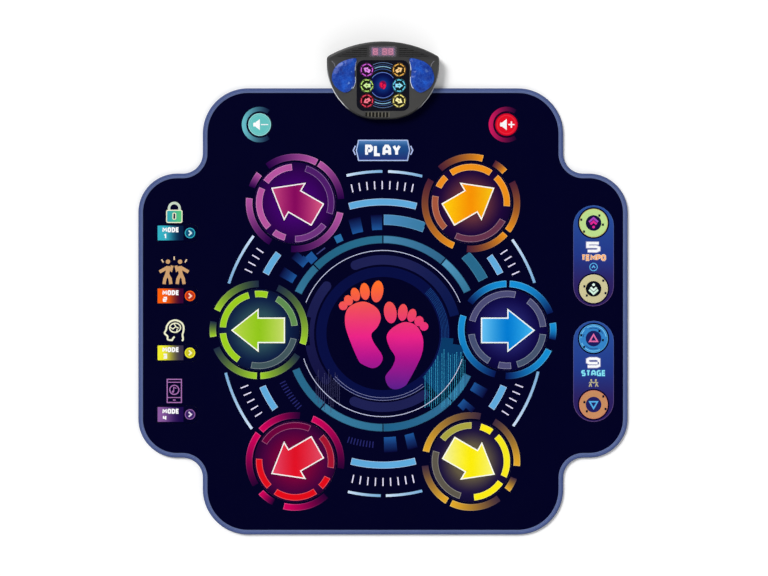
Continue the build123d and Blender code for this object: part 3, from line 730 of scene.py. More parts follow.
# %% Build the pads
PAD_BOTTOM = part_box("pad_start")[0].z / MM + 0.05
for pad in PADS:
    loop = pad_outline(pad)
    rings = [p for d in (0.5, 1.2, 2.6) for p in moved_out(loop, -d)]
    step = 5.0 if "arrow" in pad else 3.0
    spots, faces = fill([loop], rings + grid_inside([moved_out(loop, -3.0)], step, 1.5))
    top = pad_surface(loop)(spots[:, 0], spots[:, 1])
    inks = np.tile(glow_of(pad, spots), (2, 1))
    name, body = pad.replace("pad_", "patch_"), pad + "_body"
    piece = slab(name, spots, faces, top, PAD_BOTTOM, pad_cloth, body, inks=inks)
    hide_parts(pad)
print("pads:", len(PADS))

# %% [markdown]
# ## Ink
#
# Each printed shape is a closed sliver that stands a tenth of a millimetre proud of the surface below it
# and follows it. An image would blur close up, and cutting the cloth into colours would fill it with
# slivers. Shapes that overlap get a higher layer, so no two faces share a height.


# %% Colour functions
def blend(first, last, share):
    """Colours between two inks, one for each share from 0 to 1."""
    share = np.clip(share, 0, 1)[:, None]
    return np.array(first, float) * (1 - share) + np.array(last, float) * share


def fades(stops, inks, axis=1):
    """A colour function that runs through the inks at these stops along X or Y."""
    return lambda spots: np.column_stack([np.interp(spots[:, axis], stops, tones) for tones in zip(*inks)])


def paler(ink, by=0.22):
    return tuple(v + (255 - v) * by for v in ink)


def darker(ink, times):
    return tuple(v * times for v in ink)


# %% The print maker
INK_RISE, LAYER_RISE, SHAPE_RISE, SHAPE_TURNS = 0.07, 0.05, 0.0015, 20


class Artwork:
    """Printed shapes for one surface, gathered into one mesh with a colour on every point."""

    def __init__(self, surface, root=0.12):
        self.surface, self.root = surface, root
        self.points, self.faces, self.inks = [], [], []
        self.total = self.shapes = 0

    def add(self, spots, faces, ink, layer):
        spots = np.asarray(spots, float)
        ground = self.surface(spots[:, 0], spots[:, 1])
        lift = INK_RISE + LAYER_RISE * layer + SHAPE_RISE * (self.shapes % SHAPE_TURNS)
        self.points.append(np.column_stack([spots, ground + lift]))
        self.points.append(np.column_stack([spots, ground - self.root]))
        self.faces += [[i + self.total for i in face] for face in thicken(faces, len(spots))]
        inks = ink(spots) if callable(ink) else np.broadcast_to(np.asarray(ink, float), (len(spots), 3))
        self.inks += [inks, inks]
        self.total += 2 * len(spots)
        self.shapes += 1

    def shape(self, loops, ink, layer=0, grid=6.0):
        """A filled outline with holes. ink is a colour, or a function of the spots."""
        loops = [spaced(loop, grid) for loop in loops]
        spots, faces = fill(loops, grid_inside(loops, grid, grid * 0.5))
        self.add(spots, faces, ink, layer)

    def disc(self, x, y, radius, count, ink, layer=0, grid=6.0):
        self.shape([circle(x, y, radius, count)], ink, layer, grid)

    def box(self, x, y, half_w, half_d, radius, ink, layer=0, grid=6.0):
        self.shape([rounded_box(x, y, half_w, half_d, radius)], ink, layer, grid)

    def ring(self, x, y, outer, inner, ink, layer=0):
        self.shape([circle(x, y, outer, 56), circle(x, y, inner, 56)], ink, layer)

    def band(self, centre, radii, start, end, ink, layer=0, fade=None, across=2, keep=None, power=0.9):
        """A piece of a ring from start to end degrees, fading from ink to the colour fade."""
        count = max(2, math.ceil(abs(end - start) * max(radii) / 180))
        spots, shares, faces = [], [], []
        for i in range(count + 1):
            angle = math.radians(start + (end - start) * i / count)
            for j in range(across + 1):
                radius = radii[0] + (radii[1] - radii[0]) * j / across
                spots.append((centre[0] + radius * math.cos(angle), centre[1] + radius * math.sin(angle)))
                shares.append(i / count)
        turn = 1 if end > start else -1
        for i in range(count):
            for j in range(across):
                a = i * (across + 1) + j
                face = [a, a + 1, a + across + 2, a + across + 1]
                if keep is None or keep(*np.mean([spots[k] for k in face], axis=0)):
                    faces.append(face[::turn])
        if not faces:
            return
        used = sorted({k for face in faces for k in face})
        place = {k: i for i, k in enumerate(used)}
        faces = [[place[k] for k in face] for face in faces]
        if fade is not None:
            colours = blend(ink, fade, np.array(shares)[used] ** power)
            ink = lambda _: colours
        self.add([spots[k] for k in used], faces, ink, layer)

    def stroke(self, line, width, ink, layer=0, grid=6.0):
        """A line drawn with a flat pen, with mitred turns; it is a ring when it ends where it starts."""
        line = np.array(line, float)
        closed = math.dist(line[0], line[-1]) < 1e-6
        along = np.diff(line, axis=0)
        along /= np.linalg.norm(along, axis=1)[:, None]
        side = np.column_stack([-along[:, 1], along[:, 0]])
        mitre = np.vstack([side[-1:] if closed else side[:1], side])
        mitre += np.vstack([side, side[:1] if closed else side[-1:]])
        mitre *= width / np.maximum((mitre**2).sum(1), 1.2)[:, None]
        left, right = [[tuple(p) for p in line + way * mitre] for way in (1, -1)]
        self.shape([left[:-1], right[:-1]] if closed else [right + left[::-1]], ink, layer, grid)

    def words(self, text, at, size, pen, ink, layer=2, gap=0.45):
        """Plain lettering drawn with strokes, size wide and tall over all, centred on at."""
        advance = sum(GLYPHS[letter][0] for letter in text) + gap * (len(text) - 1)
        scale = np.array([(size[0] - pen) / advance, size[1] - pen])
        pen_x = -advance / 2
        for letter in text:
            width, lines = GLYPHS[letter]
            for line in lines:
                placed = (np.array(line, float) + (pen_x, -0.5)) * scale + np.array(at)
                self.stroke(placed, pen, ink, layer)
            pen_x += width + gap

    def make(self, name, body, slot, material):
        points, inks = np.concatenate(self.points), np.concatenate(self.inks)
        make_piece(name, points, self.faces, material, body, False, inks)
        print(name, "-", self.shapes, "shapes,", len(self.faces), "faces")


GLYPHS = {
    "A": (0.75, [[(0, 0), (0.05, 0.72), (0.25, 1), (0.5, 1), (0.7, 0.72), (0.75, 0)],
                 [(0.1, 0.36), (0.65, 0.36)]]),
    "D": (0.65, [[(0, 0), (0, 1), (0.4, 1), (0.65, 0.75), (0.65, 0.25), (0.4, 0), (0, 0)]]),
    "E": (0.55, [[(0.55, 1), (0, 1), (0, 0), (0.55, 0)], [(0, 0.5), (0.5, 0.5)]]),
    "G": (0.65, [[(0.65, 1), (0.15, 1), (0, 0.8), (0, 0.2), (0.15, 0), (0.65, 0), (0.65, 0.45),
                  (0.35, 0.45)]]),
    "L": (0.55, [[(0, 1), (0, 0), (0.55, 0)]]),
    "M": (0.9, [[(0, 0), (0, 1), (0.45, 0.4), (0.9, 1), (0.9, 0)]]),
    "O": (0.65, [[(0.15, 1), (0.5, 1), (0.65, 0.8), (0.65, 0.2), (0.5, 0), (0.15, 0), (0, 0.2), (0, 0.8),
                  (0.15, 1)]]),
    "P": (0.6, [[(0, 0), (0, 1), (0.45, 1), (0.6, 0.85), (0.6, 0.6), (0.45, 0.45), (0.1, 0.45)]]),
    "S": (0.6, [[(0.6, 1), (0.12, 1), (0, 0.88), (0, 0.62), (0.12, 0.5), (0.48, 0.5), (0.6, 0.38),
                 (0.6, 0.12), (0.48, 0), (0, 0)]]),
    "T": (0.6, [[(0, 1), (0.6, 1)], [(0.3, 1), (0.3, 0)]]),
    "Y": (0.7, [[(0, 1), (0.35, 0.45), (0.7, 1)], [(0.35, 0.5), (0.35, 0)]]),
    "1": (0.3, [[(0, 0.8), (0.3, 1), (0.3, 0)]]),
    "2": (0.6, [[(0, 1), (0.6, 1), (0.6, 0.5), (0, 0.5), (0, 0), (0.6, 0)]]),
    "3": (0.6, [[(0, 1), (0.6, 1), (0.6, 0), (0, 0)], [(0.1, 0.5), (0.6, 0.5)]]),
    "4": (0.6, [[(0, 1), (0, 0.42), (0.6, 0.42)], [(0.45, 1), (0.45, 0)]]),
    "5": (0.6, [[(0.6, 1), (0, 1), (0, 0.55), (0.48, 0.55), (0.6, 0.42), (0.6, 0.13), (0.48, 0), (0, 0)]]),
    "9": (0.6, [[(0.6, 0.42), (0.12, 0.42), (0, 0.55), (0, 0.88), (0.12, 1), (0.48, 1), (0.6, 0.88),
                 (0.6, 0.12), (0.48, 0), (0, 0)]]),
}

# %% [markdown]
# ### Arrow pads
#
# Every arrow pad has the same drawing in another colour: a fat arrow with a pale outline, a broken inner
# ring on the pad, and a broken outer ring on the cover that fades out along its length. The breaks differ
# from pad to pad, so each has its own short table of start and end angles.

# %% Arrow pad tables
WHITE = (250, 250, 252)
INNER_R, OUTER_R = (62.2, 74.4), (81.2, 93.6)
ARROWS = {
    "up_left": {
        "offset": (0, 2.4),
        "fade_power": 1.2,
        "points": 150,
        "arrow": [(205, 78, 130), (132, 6, 92), (205, 80, 125)],
        "outer_ink": (178, 82, 160),
        "outer_end": (38, 0, 66),
        "outer": [(62, 127), (59, 5), (-12, -95), (174, 238), (141, 160)],
        "inner": [(95, 144, (182, 84, 160)), (156, 222.5, (185, 85, 160)), (234, 254, (172, 80, 155)),
                  (270, 323, (112, 50, 128)), (-17, 73, (78, 27, 105))],
    },
    "up_right": {
        "offset": (-0.8, 2.6),
        "fade_power": 0.9,
        "points": 30,
        "arrow": [(252, 200, 10), (246, 144, 2), (250, 206, 20)],
        "outer_ink": (240, 148, 25),
        "outer_end": (74, 30, 52),
        "outer": [(75, 132), (42.8, 60), (-37, 27), (-42, -95), (248, 150)],
        "inner": [(56.5, 123.5, (240, 146, 25)), (134, 154, (236, 140, 30)), (169, 224, (165, 85, 60)),
                  (245, 332, (100, 50, 75)), (-5, 46, (240, 145, 25))],
    },
    "left": {
        "offset": (0, -0.9),
        "fade_power": 1.0,
        "points": 180,
        "arrow": [(186, 216, 80), (146, 200, 26), (196, 218, 104)],
        "outer_ink": (158, 206, 40),
        "outer_end": (30, 44, 66),
        "outer": [(155, 90), (188.6, 169.6), (267.6, 203), (272, 327), (-18, 66)],
        "inner": [(106, 176, (155, 205, 30)), (185.5, 236, (155, 205, 30)), (258, 346, (66, 86, 92)),
                  (6.5, 60, (95, 140, 80)), (76, 96, (155, 205, 30))],
    },
    "right": {
        "offset": (0, -1.0),
        "fade_power": 2.4,
        "points": 0,
        "arrow": [(100, 190, 240), (0, 122, 208), (64, 180, 240)],
        "outer_ink": (20, 142, 212),
        "outer_end": (6, 22, 80),
        "outer": [(91, 144), (87, 21), (8.6, -12), (-25.5, -92), (162, 255)],
        "inner": [(77, 166, (76, 76, 118)), (187, 240, (70, 80, 114)), (256, 276, (76, 76, 118)),
                  (286, 353, (70, 84, 110)), (5, 54, (76, 80, 118))],
    },
    "down_left": {
        "offset": (0, 2.6),
        "fade_power": 1.3,
        "points": 210,
        "arrow": [(226, 80, 112), (225, 15, 36), (224, 70, 96)],
        "outer_ink": (212, 0, 90),
        "outer_end": (40, 0, 50),
        "outer": [(137.8, 84), (143, 210.6), (222, 242), (255.8, 312), (68, -8.6)],
        "inner": [(66, 149, (106, 0, 58)), (176, 224, (226, 12, 28)), (237, 304, (228, 10, 25)),
                  (315, 334, (228, 10, 25)), (-10, 43.5, (166, 18, 48))],
    },
    "down_right": {
        "offset": (0, 1.2),
        "fade_power": 1.2,
        "points": -30,
        "arrow": [(250, 246, 150), (254, 238, 6), (250, 246, 140)],
        "outer_ink": (226, 168, 40),
        "outer_end": (60, 40, 60),
        "outer": [(167.7, 78), (239, 185.4), (244.6, 307), (322, 339), (-5.5, 60)],
        "inner": [(89, 142, (172, 166, 66)), (164, 253, (92, 86, 76)), (275, 325, (252, 236, 20)),
                  (-24.5, 44, (250, 235, 28)), (55, 74.5, (252, 236, 20))],
    },
}


def arrow_loop(centre, degrees, inset=0.0):
    """The fat arrow seen from above; inset draws its edge in, for the fill inside the pale outline."""
    tip, tail, neck, head, shaft = 53.0, -50.0, 0.0, 42.0, 24.5
    slope = math.atan2(head, tip - neck)
    back = inset / math.sin(slope)
    shoulder = head - inset / math.tan(slope) - inset / math.cos(slope) * 0.55
    flat = [
        (tail + inset, -shaft + inset),
        (neck + inset, -shaft + inset),
        (neck + inset, -shoulder),
        (tip - back, 0),
        (neck + inset, shoulder),
        (neck + inset, shaft - inset),
        (tail + inset, shaft - inset),
    ]
    c, s = math.cos(math.radians(degrees)), math.sin(math.radians(degrees))
    return [(centre[0] + u * c - v * s, centre[1] + u * s + v * c) for u, v in flat]


# %% Print the arrow pads
def pad_art(pad):
    """Empty artwork on the face of a pad."""
    return Artwork(pad_surface(pad_outline(pad)))


def print_pad(art, pad):
    """Makes a pad's artwork, which rides on the pad's own body."""
    art.make(pad.replace("pad_", "print_"), pad + "_body", "printed_film", printed_ink)


def arrow_ink(centre, inks):
    """The arrow's own colours: the middle one in its middle, the others at its left and right."""
    low, mid, high = inks

    def ink(spots):
        place = (spots[:, 0] - centre[0]) / ARROW_REACH
        end = np.where((place < 0)[:, None], np.array(low, float), np.array(high, float))
        return blend(mid, end, np.clip(np.abs(place), 0, 1) ** 1.1)

    return ink


def trimmed(radii, start, end, edge, degrees):
    """The same span of a ring without its edge: narrower, and shorter at its start."""
    return (radii[0] + edge, radii[1] - edge), start + math.copysign(degrees, end - start)


ARROW_REACH = 46
cover_art = Artwork(lambda x, y: cover_height(x, y, 0.0), root=0.4)
for side, table in ARROWS.items():
    pad = "pad_arrow_" + side
    centre = middle_of(pad)
    art = pad_art(pad)
    for start, end, colour in table["inner"]:
        art.band(centre, INNER_R, start, end, paler(colour, 0.3), across=4)
        core, first = trimmed(INNER_R, start, end, 1.1, 0.9)
        art.band(centre, core, first, end - (first - start), colour, 1, across=4)
    middle = (centre[0] + table["offset"][0], centre[1] + table["offset"][1])
    mid = table["arrow"][1]
    looks = ((-0.8, darker(mid, 0.25)), (0.1, paler(mid, 0.94)), (2.5, arrow_ink(centre, table["arrow"])))
    for level, (inset, ink) in enumerate(looks):
        art.shape([arrow_loop(middle, table["points"], inset)], ink, level)
    print_pad(art, pad)
    ink, fading = table["outer_ink"], {"fade": table["outer_end"], "power": table["fade_power"]}
    for start, end in table["outer"]:
        cover_art.band(centre, OUTER_R, start, end, paler(ink, 0.25), 0, **fading)
        core, first = trimmed(OUTER_R, start, end, 1.2, 0.7)
        cover_art.band(centre, core, first, end, ink, 1, **fading)

# %% [markdown]
# ### The ring of light drawings
#
# Round the footprints runs a big dial: arcs of several radii, some plain, some cut by gaps, and short
# tick marks. The arcs stop where a pad's ring begins, so one test keeps every arc clear of the pads.

# %% Dial arcs
DIAL, RINGS_END = (0.0, -86.0), 97.5
ARROW_CENTRES = [middle_of("pad_arrow_" + side) for side in ARROWS]


def clear_of_pads(x, y):
    return all(math.dist((x, y), centre) > RINGS_END for centre in ARROW_CENTRES)


def outward(inks, low, high):
    """A colour function that changes with the distance from the dial's middle."""
    return lambda spots: blend(*inks, (np.hypot(*(spots - np.array(DIAL)).T) - low) / (high - low))


def dial_band(radii, start, end, ink, layer=0, fade=None, edge=None):
    """A band of the dial; with an edge colour it gets a thin paler outline."""
    if edge is not None:
        cover_art.band(DIAL, radii, start, end, edge, layer, keep=clear_of_pads)
        trim = math.copysign(math.degrees(1.0 / radii[1]), end - start)
        radii, start, end, layer = (radii[0] + 1.0, radii[1] - 1.0), start + trim, end - trim, layer + 1
    cover_art.band(DIAL, radii, start, end, ink, layer, fade, keep=clear_of_pads)


LIGHT_ARCS = [(103, 90.2), (88.2, 76), (143, 162), (36, 18.5), (216, 194), (-35.4, -13.8),
              (257.5, 269.2), (271, 284)]
for start, end in LIGHT_ARCS:
    inner_r = 301.0 if abs(start) < 40 else 305.5
    dial_band((inner_r, inner_r + 5), start, end, (208, 226, 248), fade=(122, 172, 215))
for start, end in ((104.9, 75.3), (142.5, 153), (27, 36), (203.7, 215), (-34.6, -23.5), (256, 284.3)):
    dial_band((243.5, 256.5), start, end, (95, 170, 220), edge=(165, 198, 235))
dial_band((206.5, 226), 89.6, 68.7, (74, 136, 186), fade=(58, 124, 164), edge=(104, 158, 200))
dial_band((206.5, 226), 43.7, 28.3, (40, 105, 140), edge=(70, 130, 165))
DEEP = outward(((28, 84, 152), (6, 4, 52)), 199, 226)
BLOCKS = [(90.5, 96), (101, 107), (135.5, 140.5), (146, 151), (270.5, 277), (282, 287), (-33, -28),
          (-44, -39)]
for start, end in BLOCKS:
    dial_band((197, 226), start, end, DEEP)
dial_band((192, 206), 113, 117, (40, 110, 165))
dial_band((189, 207), 131, 136, (28, 84, 150))
cover_art.stroke([(-126, 64.5), (-110, 77)], 2.2, (60, 70, 130))
for start, end, first, last in (
    (154.3, 135.6, (52, 118, 152), (44, 108, 142)),
    (134.8, 90.4, (34, 100, 132), (40, 108, 140)),
    (89.8, 50.5, (70, 132, 170), (46, 100, 138)),
    (49.9, 26.4, (84, 152, 190), (52, 118, 152)),
    (202.3, 229.8, (40, 105, 140), (40, 105, 140)),
    (230.6, 269.7, (60, 125, 160), (45, 110, 145)),
    (270.3, 315.2, (30, 95, 135), (50, 110, 150)),
    (315.9, 334, (50, 110, 150), (50, 110, 150)),
):
    dial_band((171.5, 186), start, end, first, fade=last, edge=(46, 96, 128))
for start, end in ((22, 158), (197.5, 342)):
    dial_band((157.2, 158.5), start, end, (200, 205, 235), 5)
GREY_VIOLET, DEEP_BLUE, DUSK = (29, 32, 82), (8, 22, 76), (18, 18, 64)
for start, end, first, last in (
    (112, 70, GREY_VIOLET, GREY_VIOLET),
    (70, 14, GREY_VIOLET, DEEP_BLUE),
    (140, 219, GREY_VIOLET, DUSK),
    (247, 304, GREY_VIOLET, GREY_VIOLET),
):
    dial_band((131, 149), start, end, first, fade=last)
CAPS = [(112, GREY_VIOLET), (140, GREY_VIOLET), (219, DUSK), (247, GREY_VIOLET), (304, GREY_VIOLET)]
for degrees, cap_ink in CAPS:
    x = DIAL[0] + 140 * math.cos(math.radians(degrees))
    y = DIAL[1] + 140 * math.sin(math.radians(degrees))
    cover_art.disc(x, y, 9, 32, cap_ink, 1)
dial_band((107.5, 127), 0, 360, (6, 13, 66))
for step in range(6):
    dial_band((111 + 2.6 * step, 111.6 + 2.6 * step), 44, -44, (30, 80, 150), 1)
for radius in (122, 127):
    dial_band((radius - 0.5, radius + 0.5), 222, 308, (120, 125, 170), 1)
dial_band((112, 156), -4, -48, (8, 58, 104), 1)

# %% [markdown]
# ### Footprints
#
# A smooth closed curve through a few points makes each sole, and ellipses make the toes. The colour runs
# from orange at the toes through pink to purple at the heel, by the place along the mat.


# %% Footprints
def smooth_loop(points, steps=8):
    """A closed curve through the points, by the Catmull-Rom rule."""
    p = np.array(points, float)
    out = []
    for i in range(len(p)):
        a, b, c, d = p[i - 1], p[i], p[(i + 1) % len(p)], p[(i + 2) % len(p)]
        for k in range(steps):
            t = k / steps
            spot = 2 * b + (c - a) * t + (2 * a - 5 * b + 4 * c - d) * t**2 + (3 * b - a - 3 * c + d) * t**3
            out.append(tuple(spot / 2))
    return out


def ellipse(x, y, half_w, half_d, lean=0.0, count=40):
    c, s = math.cos(math.radians(lean)), math.sin(math.radians(lean))
    out = []
    for i in range(count):
        u, v = half_w * math.cos(math.tau * i / count), half_d * math.sin(math.tau * i / count)
        out.append((x + u * c - v * s, y + u * s + v * c))
    return out


FOOT_STOPS = (-192, -131, -92, -60, -30, 12)
FOOT_INKS = [(92, 30, 140), (180, 20, 140), (235, 35, 135), (238, 60, 112), (242, 84, 84), (255, 112, 38)]
foot_ink = fades(FOOT_STOPS, FOOT_INKS)
LEFT_SOLE = [(-38, -25.2), (-12.7, -36.7), (-4.1, -55.1), (-10.4, -73.5), (-21.9, -87.3), (-17.3, -103.4),
             (-1.1, -128.8), (-5.7, -144.9), (-19.6, -151.8), (-38, -144.9), (-47.2, -135.7),
             (-65.6, -91.9), (-72.5, -62), (-65.6, -36.7)]
RIGHT_SOLE = [(40.3, -64.3), (17.3, -75.8), (6.9, -91.9), (12.7, -112.6), (23, -131.1), (17.3, -149.5),
              (4.6, -167.9), (10.4, -186.3), (24.2, -192.1), (40.3, -186.3), (49.5, -174.8),
              (72.5, -128.8), (76, -96.5), (63.3, -71.2)]
TOES = [(-11, -6.1, 11.5, 20.7, -8), (-34.5, -6.1, 9.2, 16.1, 6), (-52.5, -11.8, 8.5, 12.9, 16),
        (-65.6, -22.9, 8.3, 9.9, 20), (-75.5, -33.2, 8.3, 8.3, 0), (13.8, -45.9, 12, 20.7, 8),
        (37.5, -45.9, 9.2, 16.1, -6), (54.8, -51.6, 8.3, 12.7, -16), (68.4, -62.5, 8.7, 9.7, -20),
        (77.8, -72.4, 8.3, 8.3, 0)]
for sole in (LEFT_SOLE, RIGHT_SOLE):
    cover_art.shape([smooth_loop(sole)], foot_ink, 2, grid=7.0)
for x, y, half_w, half_d, lean in TOES:
    cover_art.shape([ellipse(x, y, half_w, half_d, lean)], foot_ink, 3, grid=8.0)

# %% [markdown]
# ### Small buttons
#
# The left edge has four mode buttons, each a label bar with a round key beside it and a picture above.
# The right edge has two pill-shaped fields, each with an up and a down button. All words are plain ones.


# %% Mode buttons
def rounded_box(x, y, half_w, half_d, radius):
    signs = ((1, -1), (1, 1), (-1, 1), (-1, -1))
    return rounded([(x + half_w * u, y + half_d * v, radius) for u, v in signs], 6)


LABEL_W = 46


def label_ink(colour, dark, left, solid):
    """Plain for the first part of the label, then fading to a dark tint."""
    return lambda spots: blend(colour, dark, smooth_step((spots[:, 0] - left - solid) / (LABEL_W - solid)))


MODES = [
    ((52, 176, 196), (6, 30, 66), 12, (10, 84, 120)),
    ((250, 96, 8), (60, 4, 50), 14, (190, 50, 30)),
    ((244, 240, 50), (60, 52, 74), 8, (206, 196, 40)),
    ((140, 92, 160), (30, 10, 74), 3, (58, 34, 100)),
]
for number, (colour, dark, solid, key_ink) in enumerate(MODES, 1):
    pad = f"pad_mode_{number}"
    x, y = middle_of(pad)
    art = pad_art(pad)
    art.box(x - 11, y, 24.5, 14, 0.8, label_ink(colour, dark, x - 35.5, solid), 0, 4.0)
    art.words("MODE", (x - 10.5, y + 6.1), (32, 9.6), 2.7, WHITE, 1, 0.5)
    art.words(str(number), (x - 21.5, y - 6.4), (8 if number > 1 else 5, 9.6), 2.7, WHITE, 1)
    art.disc(x + 26, y, 9.9, 48, key_ink, 0)
    art.ring(x + 26, y, 9.9, 8.2, colour, 1)
    art.stroke([(x + 23.6, y + 4.5), (x + 28.6, y), (x + 23.6, y - 4.5)], 2.8, paler(colour, 0.75), 2)
    print_pad(art, pad)

# %% The pictures above the mode buttons
CREAM, TAN = (236, 236, 205), (205, 160, 112)
turns = [math.pi * i / 20 for i in range(21)]
shackle = [(-396.5 + 10 * math.cos(t), 152 + 10 * math.sin(t)) for t in turns]
cover_art.stroke([(-386.5, 146), *shackle, (-406.5, 146)], 4.8, (200, 214, 196))
cover_art.box(-396.5, 136.6, 15.5, 12.6, 3.6, CREAM, 1)
lock_ink = fades((-411, -383), ((44, 160, 186), (92, 200, 120)), 0)
cover_art.box(-396.5, 136.6, 13.6, 10.6, 2.2, lock_ink, 2)
cover_art.box(-396.5, 137, 3.6, 6.6, 2.4, CREAM, 3)
cover_art.box(-396.5, 137, 1.7, 5, 1.2, (10, 30, 60), 4)
for flip, x in ((1, -409.5), (-1, -384.5)):
    figure = [
        ([(-6.5, 8), (-5, 18), (-1, 27)], 6.4),
        ([(6.5, 8), (5, 18), (0, 27)], 6.4),
        ([(-1, 24), (1, 34), (1, 42)], 7.6),
        ([(1, 40), (-8, 35), (-15, 31)], 6.4),
        ([(1, 40), (7, 35), (9, 43)], 5.6),
    ]
    for i, (limb, width) in enumerate(figure):
        cover_art.stroke([(x + u * flip, v) for u, v in limb], width, TAN, i % 3)
    cover_art.disc(x + 1 * flip, 50.5, 4.2, 28, TAN, 3)
for x, y, lean in ((-419, 52, 120), (-396.7, 57, 90), (-374.6, 52, 60)):
    dx, dy = 3.4 * math.cos(math.radians(lean)), 3.4 * math.sin(math.radians(lean))
    cover_art.stroke([(x - dx, y - dy), (x + dx, y + dy)], 2.6, (226, 196, 160), 0)
HEAD = [(-407, -98.5), (-409.5, -91), (-415, -85.5), (-412, -79), (-410.5, -71.5), (-404, -63.5),
        (-394.5, -60.8), (-385, -64), (-379.5, -71), (-379, -80), (-381, -88), (-382, -100)]
cover_art.stroke(smooth_loop(HEAD, 5)[: 5 * (len(HEAD) - 1) + 1], 3.4, CREAM, 0)
cover_art.stroke([(-407, -98.5), (-400.5, -98.5), (-398.5, -94.5), (-396, -92)], 3.4, CREAM, 1)
brain = ellipse(-395, -75, 10.4, 8.6, 8, 28)
cover_art.stroke([*brain, brain[0]], 2.4, CREAM, 1)
for line in (
    [(-404, -74), (-399, -77.5), (-394, -73), (-388, -76)],
    [(-397, -67.5), (-394, -72)],
    [(-392, -83), (-391, -77)],
):
    cover_art.stroke(line, 2.0, CREAM, 2)
VIOLET = (168, 112, 178)
for line, width in (
    ([(-410, -173), (-383, -173), (-383, -217), (-410, -217), (-410, -173)], 2.0),
    ([(-409, -178.6), (-384, -178.6)], 1.6),
    ([(-409, -207.6), (-384, -207.6)], 1.6),
    ([(-399, -212.4), (-394, -212.4)], 2.0),
):
    cover_art.stroke(line, width, VIOLET, 0)
cover_art.ring(-396.5, -193, 9.6, 7.6, VIOLET, 0)
cover_art.disc(-399, -196.4, 2.1, 20, VIOLET, 1)
cover_art.stroke([(-397.6, -196), (-397.6, -188.4), (-392.6, -190)], 1.6, VIOLET, 2)

# %% Tempo and stage fields
FIELD_X, FIELD_HALF_W, FIELD_HALF_D = 400.0, 38.5, 96.0
FIELD_INKS = [(44, 26, 88), (44, 34, 98), (35, 56, 136), (40, 76, 152)]
FIELDS = [
    (61.6, ("speed_up", "speed_down"), "5", "TEMPO", (250, 170, 110), (252, 232, 208)),
    (-157.8, ("level_up", "level_down"), "9", "STAGE", (140, 232, 246), (60, 140, 190)),
]
for y, pads, digit, word, word_ink, word_edge in FIELDS:
    holes = [pad_outline("pad_" + pad, 2.4) for pad in pads]
    edge = rounded_box(FIELD_X, y, FIELD_HALF_W, FIELD_HALF_D, 38.4)
    inner = rounded_box(FIELD_X, y, FIELD_HALF_W - 1.1, FIELD_HALF_D - 1.1, 37.3)
    edge_ink = fades((y - 80, y + 80), ((92, 68, 120), (62, 92, 160)))
    field_ink = fades((y - 96, y - 50, y, y + 70), FIELD_INKS)
    cover_art.shape([edge, *holes], edge_ink, 0, 8.0)
    cover_art.shape([inner, *holes], field_ink, 1, 8.0)
    cover_art.words(digit, (FIELD_X - 0.6, y + 16.6), (28.6, 22), 7.0, (150, 150, 190), 2)
    cover_art.words(digit, (FIELD_X - 0.6, y + 16.6), (26, 19.6), 4.7, WHITE, 3)
    cover_art.words(word, (FIELD_X, y - 3.4), (47.6, 12.6), 3.9, word_edge, 2, 0.4)
    cover_art.words(word, (FIELD_X, y - 3.4), (46, 11), 2.3, word_ink, 3, 0.45)
SKY = (92, 180, 235)
cover_art.ring(FIELD_X, 40.4, 7.9, 6.3, SKY, 2)
cover_art.stroke([(397, 38.6), (400, 42.4), (403, 38.6)], 2.2, SKY, 2)
DANCER = [[(3, -6), (5, 0), (3, 4), (8, 1)], [(8, -6), (5, 0)], [(3, 3), (-1, 1)]]
DANCER_INK = (190, 180, 140)
for side in (-1, 1):
    for i, limb in enumerate(DANCER):
        line = [(FIELD_X + side * (u + 0.6), -181 + v) for u, v in limb]
        cover_art.stroke(line, 1.9, DANCER_INK, 2 + i % 2)
    cover_art.disc(FIELD_X + side * 4.4, -174.4, 1.9, 16, DANCER_INK, 2)

# %% Round keys
ROUND_KEYS = {
    "speed_up": ((190, 222, 142), (204, 190, 120), (20, 15, 60), [(52, 0), (350, 0), (165, 1), (222, 1)]),
    "speed_down": ((206, 198, 152), (216, 206, 168), (6, 10, 24), [(40, 1), (-20, 1), (165, 0), (225, 0)]),
    "level_up": ((52, 130, 198), (96, 176, 228), (26, 28, 92), [(52, 0), (350, 0), (165, 1), (222, 1)]),
    "level_down": ((200, 140, 96), (214, 130, 110), (34, 32, 96), [(40, 1), (-20, 1), (165, 0), (225, 0)]),
}
for key, (ring_ink, edge_ink, hub_ink, notches) in ROUND_KEYS.items():
    pad = "pad_" + key
    x, y = middle_of(pad)
    up = 1 if "up" in key else -1
    art = pad_art(pad)
    rim = pad_radius(pad) - 0.35
    art.band((x, y), (14.6, rim), 0, 360, ring_ink, 0, across=12)
    art.band((x, y), (rim - 1.0, rim), 0, 360, edge_ink, 1)
    if key == "level_up":
        for start, end in ((8, 120), (136, 176), (200, 300)):
            art.band((x, y), (23.2, 24.6), start, end, (120, 200, 240), 2)
            art.band((x, y), (19.2, 20.4), start + 20, end - 6, (30, 60, 120), 2)
    for degrees, outer in notches:
        a, r = math.radians(degrees), 24.2 if outer else 18.0
        notch = rounded_box(x + r * math.cos(a), y + r * math.sin(a), 1.9, 2.2, 0.7)
        art.shape([notch], (14, 18, 40), 3, 1.5)
    art.disc(x, y, 14.8, 48, hub_ink, 1)
    if "speed" in key:
        big, small = ((170, 70, 190), (228, 40, 150)) if up > 0 else ((214, 246, 226), (226, 250, 236))
        for shift, half, ink in ((9.4, 8.4, big), (2.7, 5.8, small)):
            tip, ends = y + shift * up, y + (shift - half * 0.9) * up
            art.stroke([(x - half, ends), (x, tip), (x + half, ends)], 3.9, ink, 2)
        art.disc(x, y - 7.6 * up, 2.6, 24, small, 3)
    else:
        ink = (225, 110, 165) if up > 0 else (86, 176, 236)
        corners = [(x + u * 7.4, y + v * up) for u, v in ((-1, -5.4), (0, 7.4), (1, -5.4), (-1, -5.4))]
        art.stroke(corners, 3.2, ink, 2)
    print_pad(art, pad)

